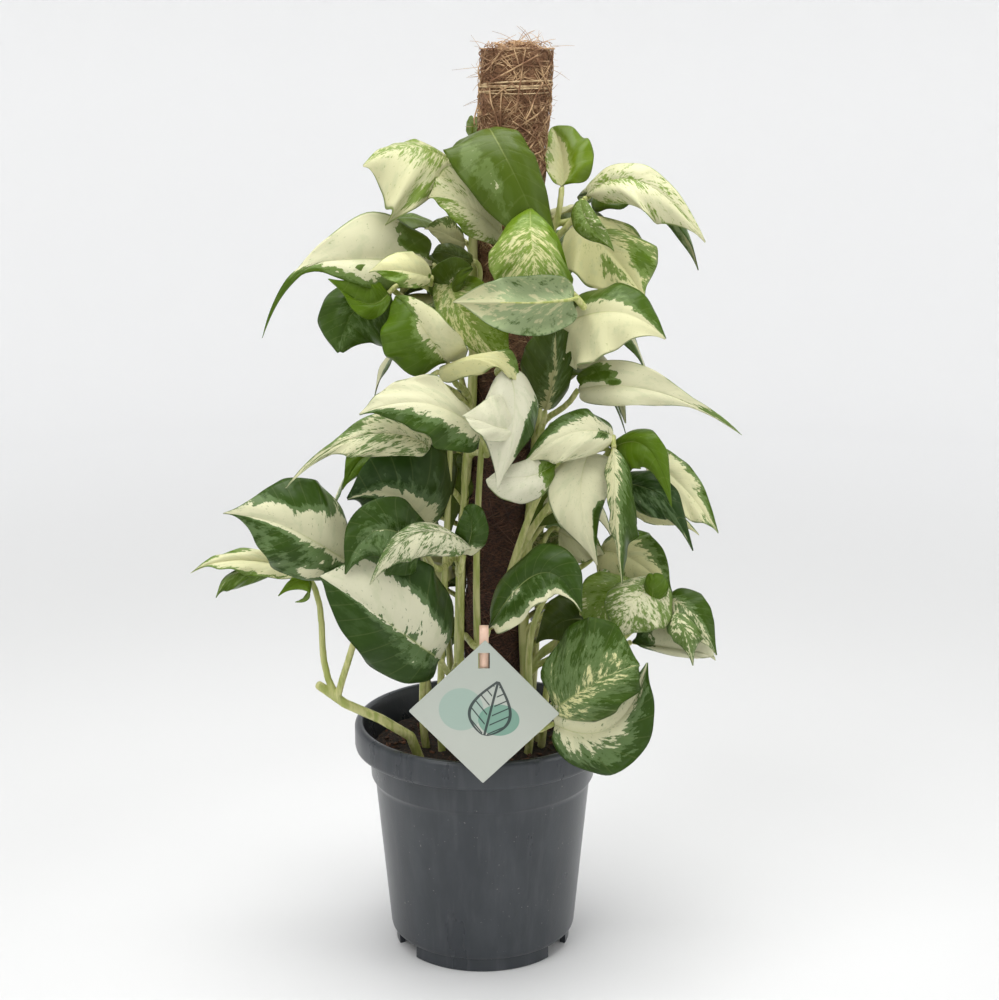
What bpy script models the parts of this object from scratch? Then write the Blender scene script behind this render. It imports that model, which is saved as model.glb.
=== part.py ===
"""A climbing plant with variegated leaves in a nursery pot, trained up a coir pole.

The pot stands on z = 0, its axis is the z axis, and -Y is the front. Metres, +Z up.
"""

import math

import bmesh
import bpy
import numpy as np
from mathutils import Matrix, Vector
from mathutils.bvhtree import BVHTree

CM = 0.01
MM = 0.001
GAP = 0.4 * MM  # left between pieces that touch

# Pot
RIM_RADIUS = 85 * MM
RIM_HEIGHT = 18 * MM
POT_HEIGHT = 155 * MM
COLLAR_RADIUS = 75 * MM
WALL_TOP_RADIUS = 71.5 * MM
WALL_FOOT_RADIUS = 62 * MM
FOOT_RADIUS = 58.8 * MM
FOOT_HEIGHT = 10 * MM
PAD_RADIUS = 9 * MM  # the middle of the base has a small foot of its own
WALL = 2 * MM
POT_STEPS = 40
SLOT_COUNT = 3
SLOT_WIDTH = 24 * MM
SOIL_TOP = 139 * MM
SOIL_CROWN = 3 * MM

# Pole
POLE_TOP = 590 * MM
POLE_BOTTOM = 50 * MM
SLEEVE_RADIUS = 20 * MM
SLEEVE_THICKNESS = 2 * MM
TIE_HEIGHT = 565 * MM
TIE_WIDTH = 9 * MM

# Tag
TAG_SIDE = 65 * MM
TAG_THICKNESS = 0.8 * MM
TAG_CENTRE = Vector((0.2, -9.8, 19.4)) * CM
TAG_SPIN = math.radians(46)
STRAP_WIDTH = 5.5 * MM

# Stems and leaves
STEM_RADIUS = 3.2 * MM
PETIOLE_RADIUS = 1.7 * MM
ROOT_DEPTH = 20 * MM
BLADE_THICKNESS = 0.9 * MM
BLADE_ACROSS = 4
BLADE_ALONG = 7
EYE = Vector((0.0, -1.14, 0.57))  # a leaf that has to move goes towards or away from here
SHARP_ANGLE = math.radians(35)
BACK_LEAVES = 9

COLLECTION = bpy.data.collections.new("potted_pothos")
CUTTERS = bpy.data.collections.new("cutters")


def clear_scene():
    for item in list(bpy.data.objects):
        bpy.data.objects.remove(item)
    for block in (COLLECTION, CUTTERS):
        bpy.context.scene.collection.children.link(block)


def material(name, colour, roughness, metallic=0.0):
    made = bpy.data.materials.new(name)
    made.use_nodes = True
    shader = made.node_tree.nodes["Principled BSDF"]
    shader.inputs["Base Color"].default_value = (*colour, 1.0)
    shader.inputs["Roughness"].default_value = roughness
    shader.inputs["Metallic"].default_value = metallic
    return made


def mesh_object(name, mesh, surface=None, collection=COLLECTION):
    made = bpy.data.objects.new(name, mesh)
    collection.objects.link(made)
    if surface:
        mesh.materials.clear()
        mesh.materials.append(surface)
    return made


def from_bmesh(name, shape, surface=None, collection=COLLECTION):
    mesh = bpy.data.meshes.new(name)
    shape.to_mesh(mesh)
    shape.free()
    return mesh_object(name, mesh, surface, collection)


def as_cutter(item):
    item.hide_render = True
    item.display_type = "WIRE"
    return item


def solidify(item, thickness, offset=0.0):
    modifier = item.modifiers.new("thickness", "SOLIDIFY")
    modifier.thickness = thickness
    modifier.offset = offset


def boolean(item, operation, other):
    modifier = item.modifiers.new(operation.lower(), "BOOLEAN")
    modifier.operation = operation
    modifier.solver = "EXACT"
    modifier.object = other


def evaluated(item):
    """Points and faces of an object with its modifiers."""
    graph = bpy.context.evaluated_depsgraph_get()
    shaped = item.evaluated_get(graph)
    mesh = shaped.to_mesh()
    points = [item.matrix_world @ vertex.co for vertex in mesh.vertices]
    faces = [tuple(face.vertices) for face in mesh.polygons]
    shaped.to_mesh_clear()
    return points, faces


def settle(item):
    """Applies an object's modifiers and shades it smooth, with its sharp edges kept."""
    graph = bpy.context.evaluated_depsgraph_get()
    mesh = bpy.data.meshes.new_from_object(item.evaluated_get(graph))
    item.modifiers.clear()
    item.data = mesh
    mesh.shade_smooth()
    mesh.set_sharp_from_angle(angle=SHARP_ANGLE)


def tree_of(item):
    return BVHTree.FromPolygons(*evaluated(item))


def tube_mesh(name, points, radii, sides=2, caps=True):
    """The mesh of a round tube through the points."""
    curve = bpy.data.curves.new(name, "CURVE")
    curve.dimensions = "3D"
    curve.bevel_depth = 1.0
    curve.bevel_resolution = sides
    curve.use_fill_caps = caps
    spline = curve.splines.new("POLY")
    spline.points.add(len(points) - 1)
    for place, point, radius in zip(spline.points, points, radii):
        place.co = (*point, 1.0)
        place.radius = radius
    holder = bpy.data.objects.new(name, curve)
    COLLECTION.objects.link(holder)
    graph = bpy.context.evaluated_depsgraph_get()
    mesh = bpy.data.meshes.new_from_object(holder.evaluated_get(graph))
    bpy.data.objects.remove(holder)
    shape = bmesh.new()
    shape.from_mesh(mesh)
    bmesh.ops.remove_doubles(shape, verts=shape.verts, dist=0.01 * MM)
    bmesh.ops.recalc_face_normals(shape, faces=shape.faces)
    shape.to_mesh(mesh)
    shape.free()
    return mesh


def turned(name, profile, surface):
    """A closed profile of (radius, height), from the top down its outer side, turned about z."""
    mesh = bpy.data.meshes.new(name)
    count = len(profile)
    closing = 1 if profile[-1][0] > 0 else 0
    edges = [(i, (i + 1) % count) for i in range(count - 1 + closing)]
    mesh.from_pydata([(radius, 0.0, height) for radius, height in profile], edges, [])
    item = mesh_object(name, mesh, surface)
    screw = item.modifiers.new("turn", "SCREW")
    screw.steps = POT_STEPS
    screw.render_steps = POT_STEPS
    screw.use_merge_vertices = True
    screw.merge_threshold = 0.0001
    return item


# ---------------------------------------------------------------- pot, soil and pole


def make_pot():
    outer = [
        (RIM_RADIUS - 2.5 * MM, POT_HEIGHT),
        (RIM_RADIUS - 0.8 * MM, POT_HEIGHT - 1 * MM),
        (RIM_RADIUS, POT_HEIGHT - 3.5 * MM),
        (RIM_RADIUS, POT_HEIGHT - RIM_HEIGHT + 3 * MM),
        (RIM_RADIUS - 1.5 * MM, POT_HEIGHT - RIM_HEIGHT),
        (COLLAR_RADIUS + 2 * MM, POT_HEIGHT - RIM_HEIGHT + 0.5 * MM),
        (COLLAR_RADIUS + 0.5 * MM, POT_HEIGHT - RIM_HEIGHT - 2 * MM),
        (COLLAR_RADIUS - 0.6 * MM, 118 * MM),
        (WALL_TOP_RADIUS + 0.5 * MM, 115.5 * MM),
        (WALL_TOP_RADIUS, 111 * MM),
        (WALL_FOOT_RADIUS, FOOT_HEIGHT + 2 * MM),
        (WALL_FOOT_RADIUS - 1 * MM, FOOT_HEIGHT),
        (FOOT_RADIUS, FOOT_HEIGHT),
        (FOOT_RADIUS, 0.0),
    ]
    inner = [
        (FOOT_RADIUS - 2 * WALL, 0.0),
        (FOOT_RADIUS - 2 * WALL, FOOT_HEIGHT),
        (PAD_RADIUS + 2 * MM, FOOT_HEIGHT),
        (PAD_RADIUS, FOOT_HEIGHT - 2 * MM),
        (PAD_RADIUS, 0.0),
        (0.0, 0.0),
        (0.0, FOOT_HEIGHT + WALL),
        (WALL_FOOT_RADIUS - WALL - 1 * MM, FOOT_HEIGHT + WALL),
        (WALL_TOP_RADIUS - WALL, 112 * MM),
        (COLLAR_RADIUS - WALL - 0.6 * MM, 120 * MM),
        (COLLAR_RADIUS - WALL, POT_HEIGHT - RIM_HEIGHT),
        (RIM_RADIUS - 6 * MM, POT_HEIGHT - 6 * MM),
        (RIM_RADIUS - 5.5 * MM, POT_HEIGHT - 1 * MM),
    ]
    plastic = material("pot_plastic", (0.02, 0.022, 0.026), 0.4)
    pot = turned("nursery_pot", outer + inner, plastic)
    for i in range(SLOT_COUNT):
        shape = bmesh.new()
        bmesh.ops.create_cube(shape, size=1.0)
        size = (24 * MM, SLOT_WIDTH, FOOT_HEIGHT - 1 * MM)
        place = Vector((FOOT_RADIUS - 2 * MM, 0, size[2] / 2 - 0.5 * MM))
        turn = Matrix.Rotation(math.radians(-30 + 120 * i), 4, "Z")
        for vertex in shape.verts:
            vertex.co = turn @ (Vector(a * b for a, b in zip(vertex.co, size)) + place)
        cutter = as_cutter(from_bmesh(f"foot_slot_{i + 1}", shape, collection=CUTTERS))
        boolean(pot, "DIFFERENCE", cutter)
    return pot


def make_soil():
    inside = WALL + GAP
    profile = [
        (0.0, SOIL_TOP + SOIL_CROWN),
        (0.03, SOIL_TOP + 0.7 * SOIL_CROWN),
        (0.06, SOIL_TOP),
        (COLLAR_RADIUS - inside - 0.3 * MM, SOIL_TOP - 3 * MM),
        (COLLAR_RADIUS - inside - 0.8 * MM, 120 * MM),
        (WALL_TOP_RADIUS - inside, 111 * MM),
        (WALL_FOOT_RADIUS - inside - 1 * MM, FOOT_HEIGHT + WALL + GAP),
        (0.0, FOOT_HEIGHT + WALL + GAP),
    ]
    return turned("potting_soil", profile, material("soil", (0.05, 0.028, 0.018), 0.95))


def pole_axis(height):
    """The pole leans to the right, more so near its top."""
    z = height / CM
    return Vector(((0.6 + 0.004 * z + 0.0004 * z * z) * CM, 0.6 * CM, height))


def pole_points(bottom, top, count):
    return [pole_axis(bottom + (top - bottom) * i / (count - 1)) for i in range(count)]


def make_pole():
    points = pole_points(POLE_BOTTOM, POLE_TOP - 4 * MM, 8)
    radius = SLEEVE_RADIUS - SLEEVE_THICKNESS - GAP
    stake = mesh_object("pole_stake", tube_mesh("pole_stake", points, [radius] * 8, sides=6))
    stake.data.materials.append(material("stake_wood", (0.2, 0.11, 0.06), 0.85))
    points = pole_points(POLE_BOTTOM, POLE_TOP, 8)
    radii = [SLEEVE_RADIUS - SLEEVE_THICKNESS] * 8
    sleeve = mesh_object("coir_sleeve", tube_mesh("coir_sleeve", points, radii, sides=6, caps=False))
    sleeve.data.materials.append(material("coir", (0.3, 0.17, 0.09), 0.95))
    solidify(sleeve, SLEEVE_THICKNESS, 1.0)
    points = pole_points(TIE_HEIGHT - TIE_WIDTH / 2, TIE_HEIGHT + TIE_WIDTH / 2, 2)
    radii = [SLEEVE_RADIUS + GAP] * 2
    tie = mesh_object("pole_tie", tube_mesh("pole_tie", points, radii, sides=6, caps=False))
    tie.data.materials.append(material("tie_straw", (0.6, 0.45, 0.25), 0.8))
    solidify(tie, 1 * MM, 1.0)
    return stake, sleeve, tie


# ---------------------------------------------------------------- tag


def make_tag():
    shape = bmesh.new()
    bmesh.ops.create_cube(shape, size=1.0)
    bmesh.ops.scale(shape, vec=(TAG_SIDE, TAG_THICKNESS, TAG_SIDE), verts=shape.verts)
    spin = Matrix.Rotation(TAG_SPIN, 4, "Y")
    bmesh.ops.rotate(shape, matrix=spin, verts=shape.verts)
    bmesh.ops.translate(shape, vec=TAG_CENTRE, verts=shape.verts)
    tag = from_bmesh("plant_tag", shape, material("tag_card", (0.52, 0.6, 0.55), 0.6))
    hole = bmesh.new()
    bmesh.ops.create_cube(hole, size=1.0)
    bmesh.ops.scale(hole, vec=(7 * MM, 6 * MM, 10 * MM), verts=hole.verts)
    bmesh.ops.translate(hole, vec=TAG_CENTRE + Vector((0, 0, 3.3)) * CM, verts=hole.verts)
    boolean(tag, "DIFFERENCE", as_cutter(from_bmesh("tag_slot", hole, collection=CUTTERS)))
    # The strap runs up behind the slot and curls back over itself.
    low = TAG_CENTRE + Vector((0, 0.15, 2.4)) * CM
    points = [low + Vector((0.0, 0.0, step)) * CM for step in (0.0, 1.2, 2.4)]
    points += [low + Vector((0.0, 0.5 - 0.5 * math.cos(a), 2.4 + 0.5 * math.sin(a))) * CM
               for a in np.linspace(0.6, math.pi, 5)]
    points.append(points[-1] + Vector((0, 0, -0.8)) * CM)
    band = bmesh.new()
    bmesh.ops.create_grid(band, x_segments=1, y_segments=len(points) - 1, size=0.5)
    band.verts.ensure_lookup_table()
    for vertex in band.verts:
        station = round((vertex.co.y + 0.5) * (len(points) - 1))
        vertex.co = points[station] + Vector((vertex.co.x * STRAP_WIDTH, 0, 0))
    strap = from_bmesh("tag_strap", band, material("strap_peach", (0.78, 0.5, 0.36), 0.5))
    solidify(strap, 0.6 * MM)
    return tag, strap


# ---------------------------------------------------------------- leaf blades

# Half of a blade: station, reach to the side, then how far along the blade its edge and midrib lie
OUTLINE = np.array([
    (0.00, 0.05, 0.00, 0.00),
    (0.10, 0.48, -0.10, 0.01),
    (0.22, 0.86, -0.055, 0.04),
    (0.36, 1.00, 0.11, 0.11),
    (0.52, 0.90, 0.34, 0.24),
    (0.68, 0.66, 0.57, 0.43),
    (0.82, 0.36, 0.77, 0.65),
    (0.93, 0.12, 0.92, 0.86),
    (1.00, 0.02, 1.00, 1.00),
])
WIDEST = 0.11
WIDEST_STATION = 0.36
DOME = 0.08  # how far a blade bulges between its midrib and its edge, in half widths
WAVE = 0.05
WAVES = 2.2
RIGHT_PHASE = 1.9


def along_outline(station, column):
    """A smooth curve through one column of the outline."""
    x, y = OUTLINE[:, 0], OUTLINE[:, column]
    slope = np.gradient(y, x)
    i = np.clip(np.searchsorted(x, station, side="right") - 1, 0, len(x) - 2)
    step = x[i + 1] - x[i]
    t = (station - x[i]) / step
    rise = (3 - 2 * t) * t * t
    ends = (1 - rise) * y[i] + rise * y[i + 1]
    return ends + t * (1 - t) * step * ((1 - t) * slope[i] - t * slope[i + 1])


def unit(vectors):
    return vectors / np.maximum(np.linalg.norm(vectors, axis=-1, keepdims=True), 1e-9)


def turned_with(vectors, start, end):
    """The vectors turned as the direction start turns into end."""
    start = np.broadcast_to(start, end.shape)
    axis = np.cross(start, end)
    cosine = np.sum(start * end, -1, keepdims=True)
    lean = np.sum(axis * vectors, -1, keepdims=True) / (1 + np.maximum(cosine, -0.95))
    return vectors * cosine + np.cross(axis, vectors) + axis * lean


def leaf(base, crest, tip, left, right, hook=(0, 0, 0), slim=0.0, tail=0.0, wide=WIDEST):
    """A blade in cm: where its stalk meets it, then the middle of its midrib, its tip and its two
    widest edge points as seen from there. hook bends the tip further, slim narrows it, and tail
    keeps that width, in half widths, up to the tip."""
    base = np.array(base, float)
    spots = [base + np.array(offset, float) for offset in (crest, tip, left, right)]
    return dict(base=base, crest=spots[0], tip=spots[1], left=spots[2], right=spots[3],
                hook=np.array(hook, float), slim=slim, tail=tail, wide=wide)


def midrib(spec, along):
    along = np.asarray(along, float)[..., None]
    bend = 2 * spec["crest"] - (spec["base"] + spec["tip"]) / 2
    point = (1 - along) ** 2 * spec["base"] + 2 * along * (1 - along) * bend + along**2 * spec["tip"]
    slope = 2 * (1 - along) * (bend - spec["base"]) + 2 * along * (spec["tip"] - bend)
    late = np.clip((along - 0.55) / 0.45, 0, None)
    return point + spec["hook"] * late**2, slope + spec["hook"] * late * 2 / 0.45


def blade_points(spec, across, station):
    """Points of a blade in cm, at across -1 to 1 and station 0 to 1."""
    side_share = np.abs(across)
    reach, edge, middle = (along_outline(station, column) for column in (1, 2, 3))
    shift = (spec["wide"] - WIDEST) * np.sin(np.pi * station**0.7)
    edge, middle = edge + shift, middle + shift
    reach = np.where(station > WIDEST_STATION, np.maximum(reach, 0) ** (1 + spec["slim"]), reach)
    reach = np.maximum(reach, spec["tail"] * np.minimum(1, 4 * (1 - station)))
    point, slope = midrib(spec, middle + (edge - middle) * side_share**1.15)
    heading = unit(slope)
    start, start_slope = midrib(spec, spec["wide"])
    start_heading = unit(start_slope)
    left, right = spec["left"] - start, spec["right"] - start
    normal = unit(np.cross(start_heading, left - right))
    side = turned_with(np.where((across >= 0)[..., None], left, right), start_heading, heading)
    normal = turned_with(np.broadcast_to(normal, heading.shape), start_heading, heading)
    width = np.linalg.norm(side, axis=-1) * reach
    ripple = np.sin(2 * np.pi * WAVES * station + np.where(across >= 0, 0, RIGHT_PHASE))
    lift = DOME * np.sin(np.pi * side_share) + WAVE * side_share**2 * ripple
    return point + side * (reach * side_share)[..., None] + normal * (lift * width)[..., None]


def make_blade(name, spec, surface):
    shape = bmesh.new()
    bmesh.ops.create_grid(shape, x_segments=BLADE_ACROSS, y_segments=BLADE_ALONG, size=0.5)
    places = np.array([vertex.co[:] for vertex in shape.verts])
    across = np.round(2 * places[:, 0] * 1e6) / 1e6
    points = blade_points(spec, across, np.clip(places[:, 1] + 0.5, 0, 1))
    for vertex, point in zip(shape.verts, points):
        vertex.co = Vector(point) * CM
    blade = from_bmesh(name, shape, surface)
    solidify(blade, BLADE_THICKNESS)
    return blade


LEAVES = {
    "crown": leaf(
        (0.5, -2.5, 54), (1, -3, -1.5), (4, -3.5, -7.5), (2.5, -2, -1), (-2.5, -2, -2), slim=-0.4, wide=0.3),
    "heart_front": leaf(
        (3, -6, 49.5), (0, -2.5, -1.5), (0.5, -3, -6), (2.5, -2, -3.5), (-2.5, -2, -3), slim=-0.3, wide=0.4),
    "heart_flap": leaf(
        (5.5, -8.5, 44.5), (-3.5, -2, 0), (-7, -1.5, 0.5), (-2.5, -1, 1.5), (-2.5, -1, -2)),
    "crown_left": leaf(
        (-1.5, -2.5, 52), (-2.5, -1.5, 1), (-5.5, -2, 0.5), (-3.5, -3.5, -3), (-2.5, 1, 1), wide=0.2),
    "crown_left_low": leaf(
        (1, -4, 48), (-2, -1.5, 2), (-4.5, -1, 3), (-2.5, -1.5, 0.5), (-2.5, -0.5, 4), wide=0.25),
    "crown_right": leaf((5, -0.5, 50.5), (0, 2, 2), (-0.5, 4, 4), (-1, 1, 1.5), (2, 1, 2)),
    "right_high": leaf((6.5, -2, 50), (3, -2, 1), (7, -3, -2), (2, -0.5, 2), (3, -3, -0.5), wide=0.25),
    "right_high_under": leaf(
        (6, -1, 48.5), (2, -1, -2), (4, -2, -4), (4.5, 0.5, -1), (-0.5, -1.5, -3.5)),
    "left_long": leaf(
        (-3, -3.5, 46), (-5.5, -3, 0.5), (-10.5, -3.5, -0.5), (-3, -3, -1), (-3.5, -1, 3),
        hook=(0.5, 0, -3), slim=4, tail=0.1, wide=0.3),
    "left_dark": leaf(
        (-5.5, -4, 44.5), (-2, -1.5, -1), (-3, -2, -3), (0, -1, -3.5), (-3.5, -1, 0), slim=-0.3, tail=0.1,
        wide=0.25),
    "left_small": leaf(
        (-3, -6, 45.5), (-1.5, -1.5, 0.5), (-3.5, -2, 1), (-1.5, -1.5, -0.5), (-1, -0.5, 1.5)),
    "centre_marbled": leaf(
        (-2, -4.5, 45), (1.5, -1.5, -2.5), (4, -1.5, -5), (3, -1, -1), (-0.5, -1, -2)),
    "left_two_tone": leaf(
        (-2, -7, 40.5), (-1.5, -1.5, 2.5), (-3, 0, 4.5), (-3.5, -1, 0.5), (1, -1, 1.5), wide=0.25),
    "centre_white": leaf(
        (1.5, -8.5, 40.5), (0.5, -1.5, -2.5), (-0.5, -2, -6.5), (2, -0.5, -2.5), (-1.5, -1.5, -2.5), tail=0.2,
        wide=0.2),
    "centre_cup": leaf(
        (4.5, -8, 34.5), (-2, -1.5, -0.5), (-4, -1.5, 0), (-1.5, -1.5, -2), (-1.5, -0.5, 0.5), slim=-0.4,
        wide=0.3),
    "right_cream": leaf(
        (5, -5, 42.5), (3, -2, 1), (6, -2.5, 0), (2.5, 0, 2.5), (1.5, -2, -2.5), wide=0.2),
    "centre_dark": leaf((4, -3.5, 37), (0.5, -1.5, 3), (0.5, -2, 6), (-1.5, -1, 3), (1.5, -2, 2.5)),
    "right_long": leaf(
        (6, -5, 38.5), (4, -3, 0.5), (9.5, -4, -1.5), (2.5, -1.5, 2), (2, -2.5, -0.5), slim=1.5, tail=0.2,
        wide=0.25),
    "left_mid": leaf((0, -8.5, 36.5), (-3, -1.5, 2), (-7, -2, 2), (-2.5, -2, -0.5), (-3, 0, 3)),
    "left_mid_twisted": leaf(
        (-3, -7.5, 35.5), (-4, -2, 1), (-8.5, -2.5, -1.5), (-3.5, -2.5, 0), (-2.5, -0.5, 2),
        slim=1.5, tail=0.2),
    "left_mid_dark": leaf(
        (-3.5, -6, 30), (-1.5, -2, 2.5), (-4.5, -2.5, 3), (-3.5, -2, 0.5), (2, -0.5, 4.5)),
    "left_low_large": leaf(
        (-8, -8.5, 28.5), (-3, -2, 2.5), (-6, -2.5, 4), (-3.5, -2.5, 0), (-1.5, -0.5, 5),
        hook=(-1.1, 0, 0.2), slim=0.3, wide=0.2),
    "left_low_green": leaf(
        (-3.5, -9, 29.5), (-2.5, -1.5, 1.5), (-4.5, -2, -0.5), (-2, -2, -1), (-1.5, 0, 3), wide=0.2),
    "centre_low_small": leaf(
        (-1, -8.5, 29), (0.5, -1, 2), (0, -0.5, 3.5), (-0.5, -0.5, 1.5), (1.5, -1, 1.5), wide=0.25),
    "left_low_tip": leaf(
        (-11, -6.5, 27.5), (-3.5, -1.5, 1), (-6.5, -2.5, 1), (-2.5, -2, 0), (-2.5, -0.5, 1.5), slim=0.5),
    "front_low_large": leaf(
        (-2.5, -9, 22.5), (-3.5, -2.5, 3.5), (-7, -2.5, 6.5), (-3.5, -2.5, 0), (-0.5, -0.5, 6), wide=0.15),
    "front_low_arched": leaf(
        (0.5, -9, 24.5), (3, -2, 4), (5.5, -3, 2.5), (2, -0.5, 5), (3, -2.5, 2), wide=0.3),
    "right_low_olive": leaf(
        (10, -3.5, 25.5), (-2, -1.5, -0.5), (-3, -2, -2), (-1, -1.5, -2.5), (-3, -0.5, 1)),
    "right_low_marbled": leaf(
        (11, -6, 27), (-1.5, -2, -1), (-3, -2.5, -3), (0.5, -2, -2.5), (-3, -1, -0.5), wide=0.3),
    "right_low_cream": leaf(
        (7.5, -2, 27.5), (2, -2, 0), (4.5, -3, -1.5), (3, -1, 1.5), (1, -2, -2.5)),
    "right_mid_outer": leaf(
        (10, -4.5, 34.5), (2, -1.5, -1.5), (4.5, -2.5, -4), (2.5, -0.5, -0.5), (1.5, -2, -3), wide=0.25),
    "right_mid_dark": leaf(
        (8.5, -4.5, 32.5), (2, -2, 0), (4.5, -2.5, -1.5), (2, -1, 1), (1.5, -2, -1.5), hook=(0, 0, -1.6)),
    "right_mid_green": leaf((8, -6, 35), (2, -2, 0.5), (3.5, -2.5, -2.5), (1.5, -1, 1.5), (1, -1.5, -1)),
    "right_mid_cream": leaf(
        (8, -7, 36), (-2.5, -1.5, 0.5), (-5.5, -1.5, -1), (-2.5, -2, -1), (-2, 0, 1.5)),
    "right_mid_hanging": leaf(
        (6.5, -7.5, 35), (-0.5, -1.5, -2.5), (0.5, -1.5, -6), (1.5, -0.5, -1.5), (-2.5, -1, -2)),
    "rim_right_upper": leaf(
        (4.5, -9.5, 19.5), (2.5, -2, 2.5), (5, -2, 4), (1.5, 0, 5.5), (3, -2.5, 0.5)),
    "rim_right_lower": leaf(
        (4.5, -9.5, 18.5), (3.5, -1.5, 0.5), (5.5, -1.5, 5), (2, -1, 2), (3, -2, -2.5)),
    "right_low_pointed": leaf(
        (11.5, -6, 25.5), (1.5, -1.5, -0.5), (3, -2, -2.5), (2, -0.5, 0.5), (1, -1.5, -2)),
    "right_low_white": leaf(
        (9.5, -5.5, 22.5), (3, -1.5, 0), (5, -2, 0), (2.5, -0.5, 2), (3, -1.5, -0.5), wide=0.3),
}


def back_leaves():
    """The leaves behind the pole, spread by rule: they lean out and hang down."""
    found = {}
    for i in range(BACK_LEAVES):
        heading = math.radians(10 + 62 * i % 160)
        height = 50 - 3.6 * i
        out = np.array((math.cos(heading), math.sin(heading), 0))
        side = np.array((-math.sin(heading), math.cos(heading), 0))
        size = 8.2 + 1.3 * math.sin(2.1 * i)
        reach = 4.8 + 1.4 * math.cos(1.3 * i)
        base = np.array((1.0, 0.6, height)) + reach * out
        found[f"back_{i + 1}"] = leaf(
            base,
            0.5 * size * out + (0, 0, 0.5 - 0.12 * size),
            0.85 * size * out - (0, 0, 0.55 * size),
            0.42 * size * side + 0.15 * size * out,
            -0.42 * size * side + 0.15 * size * out,
            wide=0.2,
        )
    return found


# ---------------------------------------------------------------- stems and leaf stalks


def tube_tree(points, radius):
    """A rough tube to test clearances with."""
    mesh = tube_mesh("test", points, [radius] * len(points), sides=1)
    corners = [vertex.co for vertex in mesh.vertices]
    tree = BVHTree.FromPolygons(corners, [tuple(face.vertices) for face in mesh.polygons])
    bpy.data.meshes.remove(mesh)
    return tree


def climbing_path(azimuth, top):
    """From the soil up along the pole, at one side of it, swaying a little."""
    clear = SLEEVE_RADIUS + STEM_RADIUS + 1.0 * MM
    path = []
    for height in map(float, np.linspace(SOIL_TOP - ROOT_DEPTH, top, 12)):
        low = max(0.0, 1 - (height - SOIL_TOP + ROOT_DEPTH) / (9 * CM))
        angle = math.radians(azimuth + 14 * math.sin(height / (5 * CM)))
        reach = clear + 1.6 * CM * low * low
        path.append(pole_axis(height) + reach * Vector((math.cos(angle), math.sin(angle), 0)))
    return path


def creeping_path():
    """The one stem that leans out over the rim at the left."""
    knots = [(-4.0, -3.2, 11.9), (-4.0, -3.2, 13.6), (-4.6, -3.9, 15.6), (-6.4, -5.0, 17.2),
             (-8.6, -6.0, 18.6), (-10.3, -6.3, 20.0)]
    return [Vector(knot) * CM for knot in knots]


STEMS = {
    "vine_left": climbing_path(205, 52 * CM),
    "vine_right": climbing_path(-28, 49 * CM),
    "vine_back": climbing_path(88, 51 * CM),
    "vine_creeping": creeping_path(),
}
CREEPING_LEAVES = ("leaf_left_low_large", "leaf_left_low_tip")


def stem_of(name, base):
    if name in CREEPING_LEAVES:
        return "vine_creeping"
    if base.y > 1.0 * CM:
        return "vine_back"
    return "vine_left" if base.x < 1.2 * CM else "vine_right"


def on_stem(path, height):
    """The point of a stem at a height."""
    for low, high in zip(path, path[1:]):
        if low.z <= height <= high.z:
            return low.lerp(high, (height - low.z) / (high.z - low.z))
    return path[0] if height < path[0].z else path[-1]


def bezier(points, count):
    a, b, c, d = points
    found = []
    for t in map(float, np.linspace(0, 1, count)):
        s = 1 - t
        found.append(a * s**3 + b * 3 * s * s * t + c * 3 * s * t * t + d * t**3)
    return found


def stalk_route(path, spec, obstacles, own):
    """A free way from the stem to just short of the blade, trying the plainest ones first."""
    base = Vector(spec["base"]) * CM
    heading = Vector(midrib(spec, 0.02)[1]).normalized()
    sideways = heading.cross(Vector((0, 0, 1))).normalized()
    lowest = SOIL_TOP + 1.0 * CM
    for gap in (1.0 * MM, 2.5 * MM, 4.5 * MM):
        end = base - heading * gap
        for approach in (0.5, 0.0, 1.0):
            arrive = (heading * (1 - approach) + Vector((0, 0, approach))).normalized()
            for sway in (0, 1.5, -1.5, 3, -3, 5, -5):
                for drop in (4, 2, 6, 8, 1, 11, 14, 18, 22):
                    height = min(max(base.z - drop * CM, lowest), path[-1].z - 1 * CM)
                    start = on_stem(path, height)
                    reach = (end - start).length
                    out = Vector((end.x - start.x, end.y - start.y, 0)).normalized()
                    leave = (out * 0.5 + Vector((0, 0, 0.9))) * reach * 0.4
                    bulge = sideways * sway * CM
                    before_end = end - arrive * reach * 0.4 + bulge
                    points = bezier((start, start + leave + bulge, before_end, end), 8)
                    rough = tube_tree(points, PETIOLE_RADIUS + 0.7 * MM)
                    if any(rough.overlap(tree) for tree in obstacles):
                        continue
                    exact = tube_tree(points, PETIOLE_RADIUS)
                    if not exact.overlap(own):
                        return points
    return None


def make_stem(name, path, surface):
    radii = [STEM_RADIUS * (1 - 0.25 * i / (len(path) - 1)) for i in range(len(path))]
    return mesh_object(name, tube_mesh(name, path, radii), surface)


def add_by_boolean(item, operation, name, mesh):
    helper = as_cutter(mesh_object(name, mesh, collection=CUTTERS))
    boolean(item, operation, helper)


def join_stalk(stem, index, points):
    radii = [PETIOLE_RADIUS * (1.15 - 0.25 * i / (len(points) - 1)) for i in range(len(points))]
    name = f"{stem.name}_stalk_{index}"
    add_by_boolean(stem, "UNION", name, tube_mesh(name, points, radii, sides=1))


# ---------------------------------------------------------------- placing without overlaps


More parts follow.
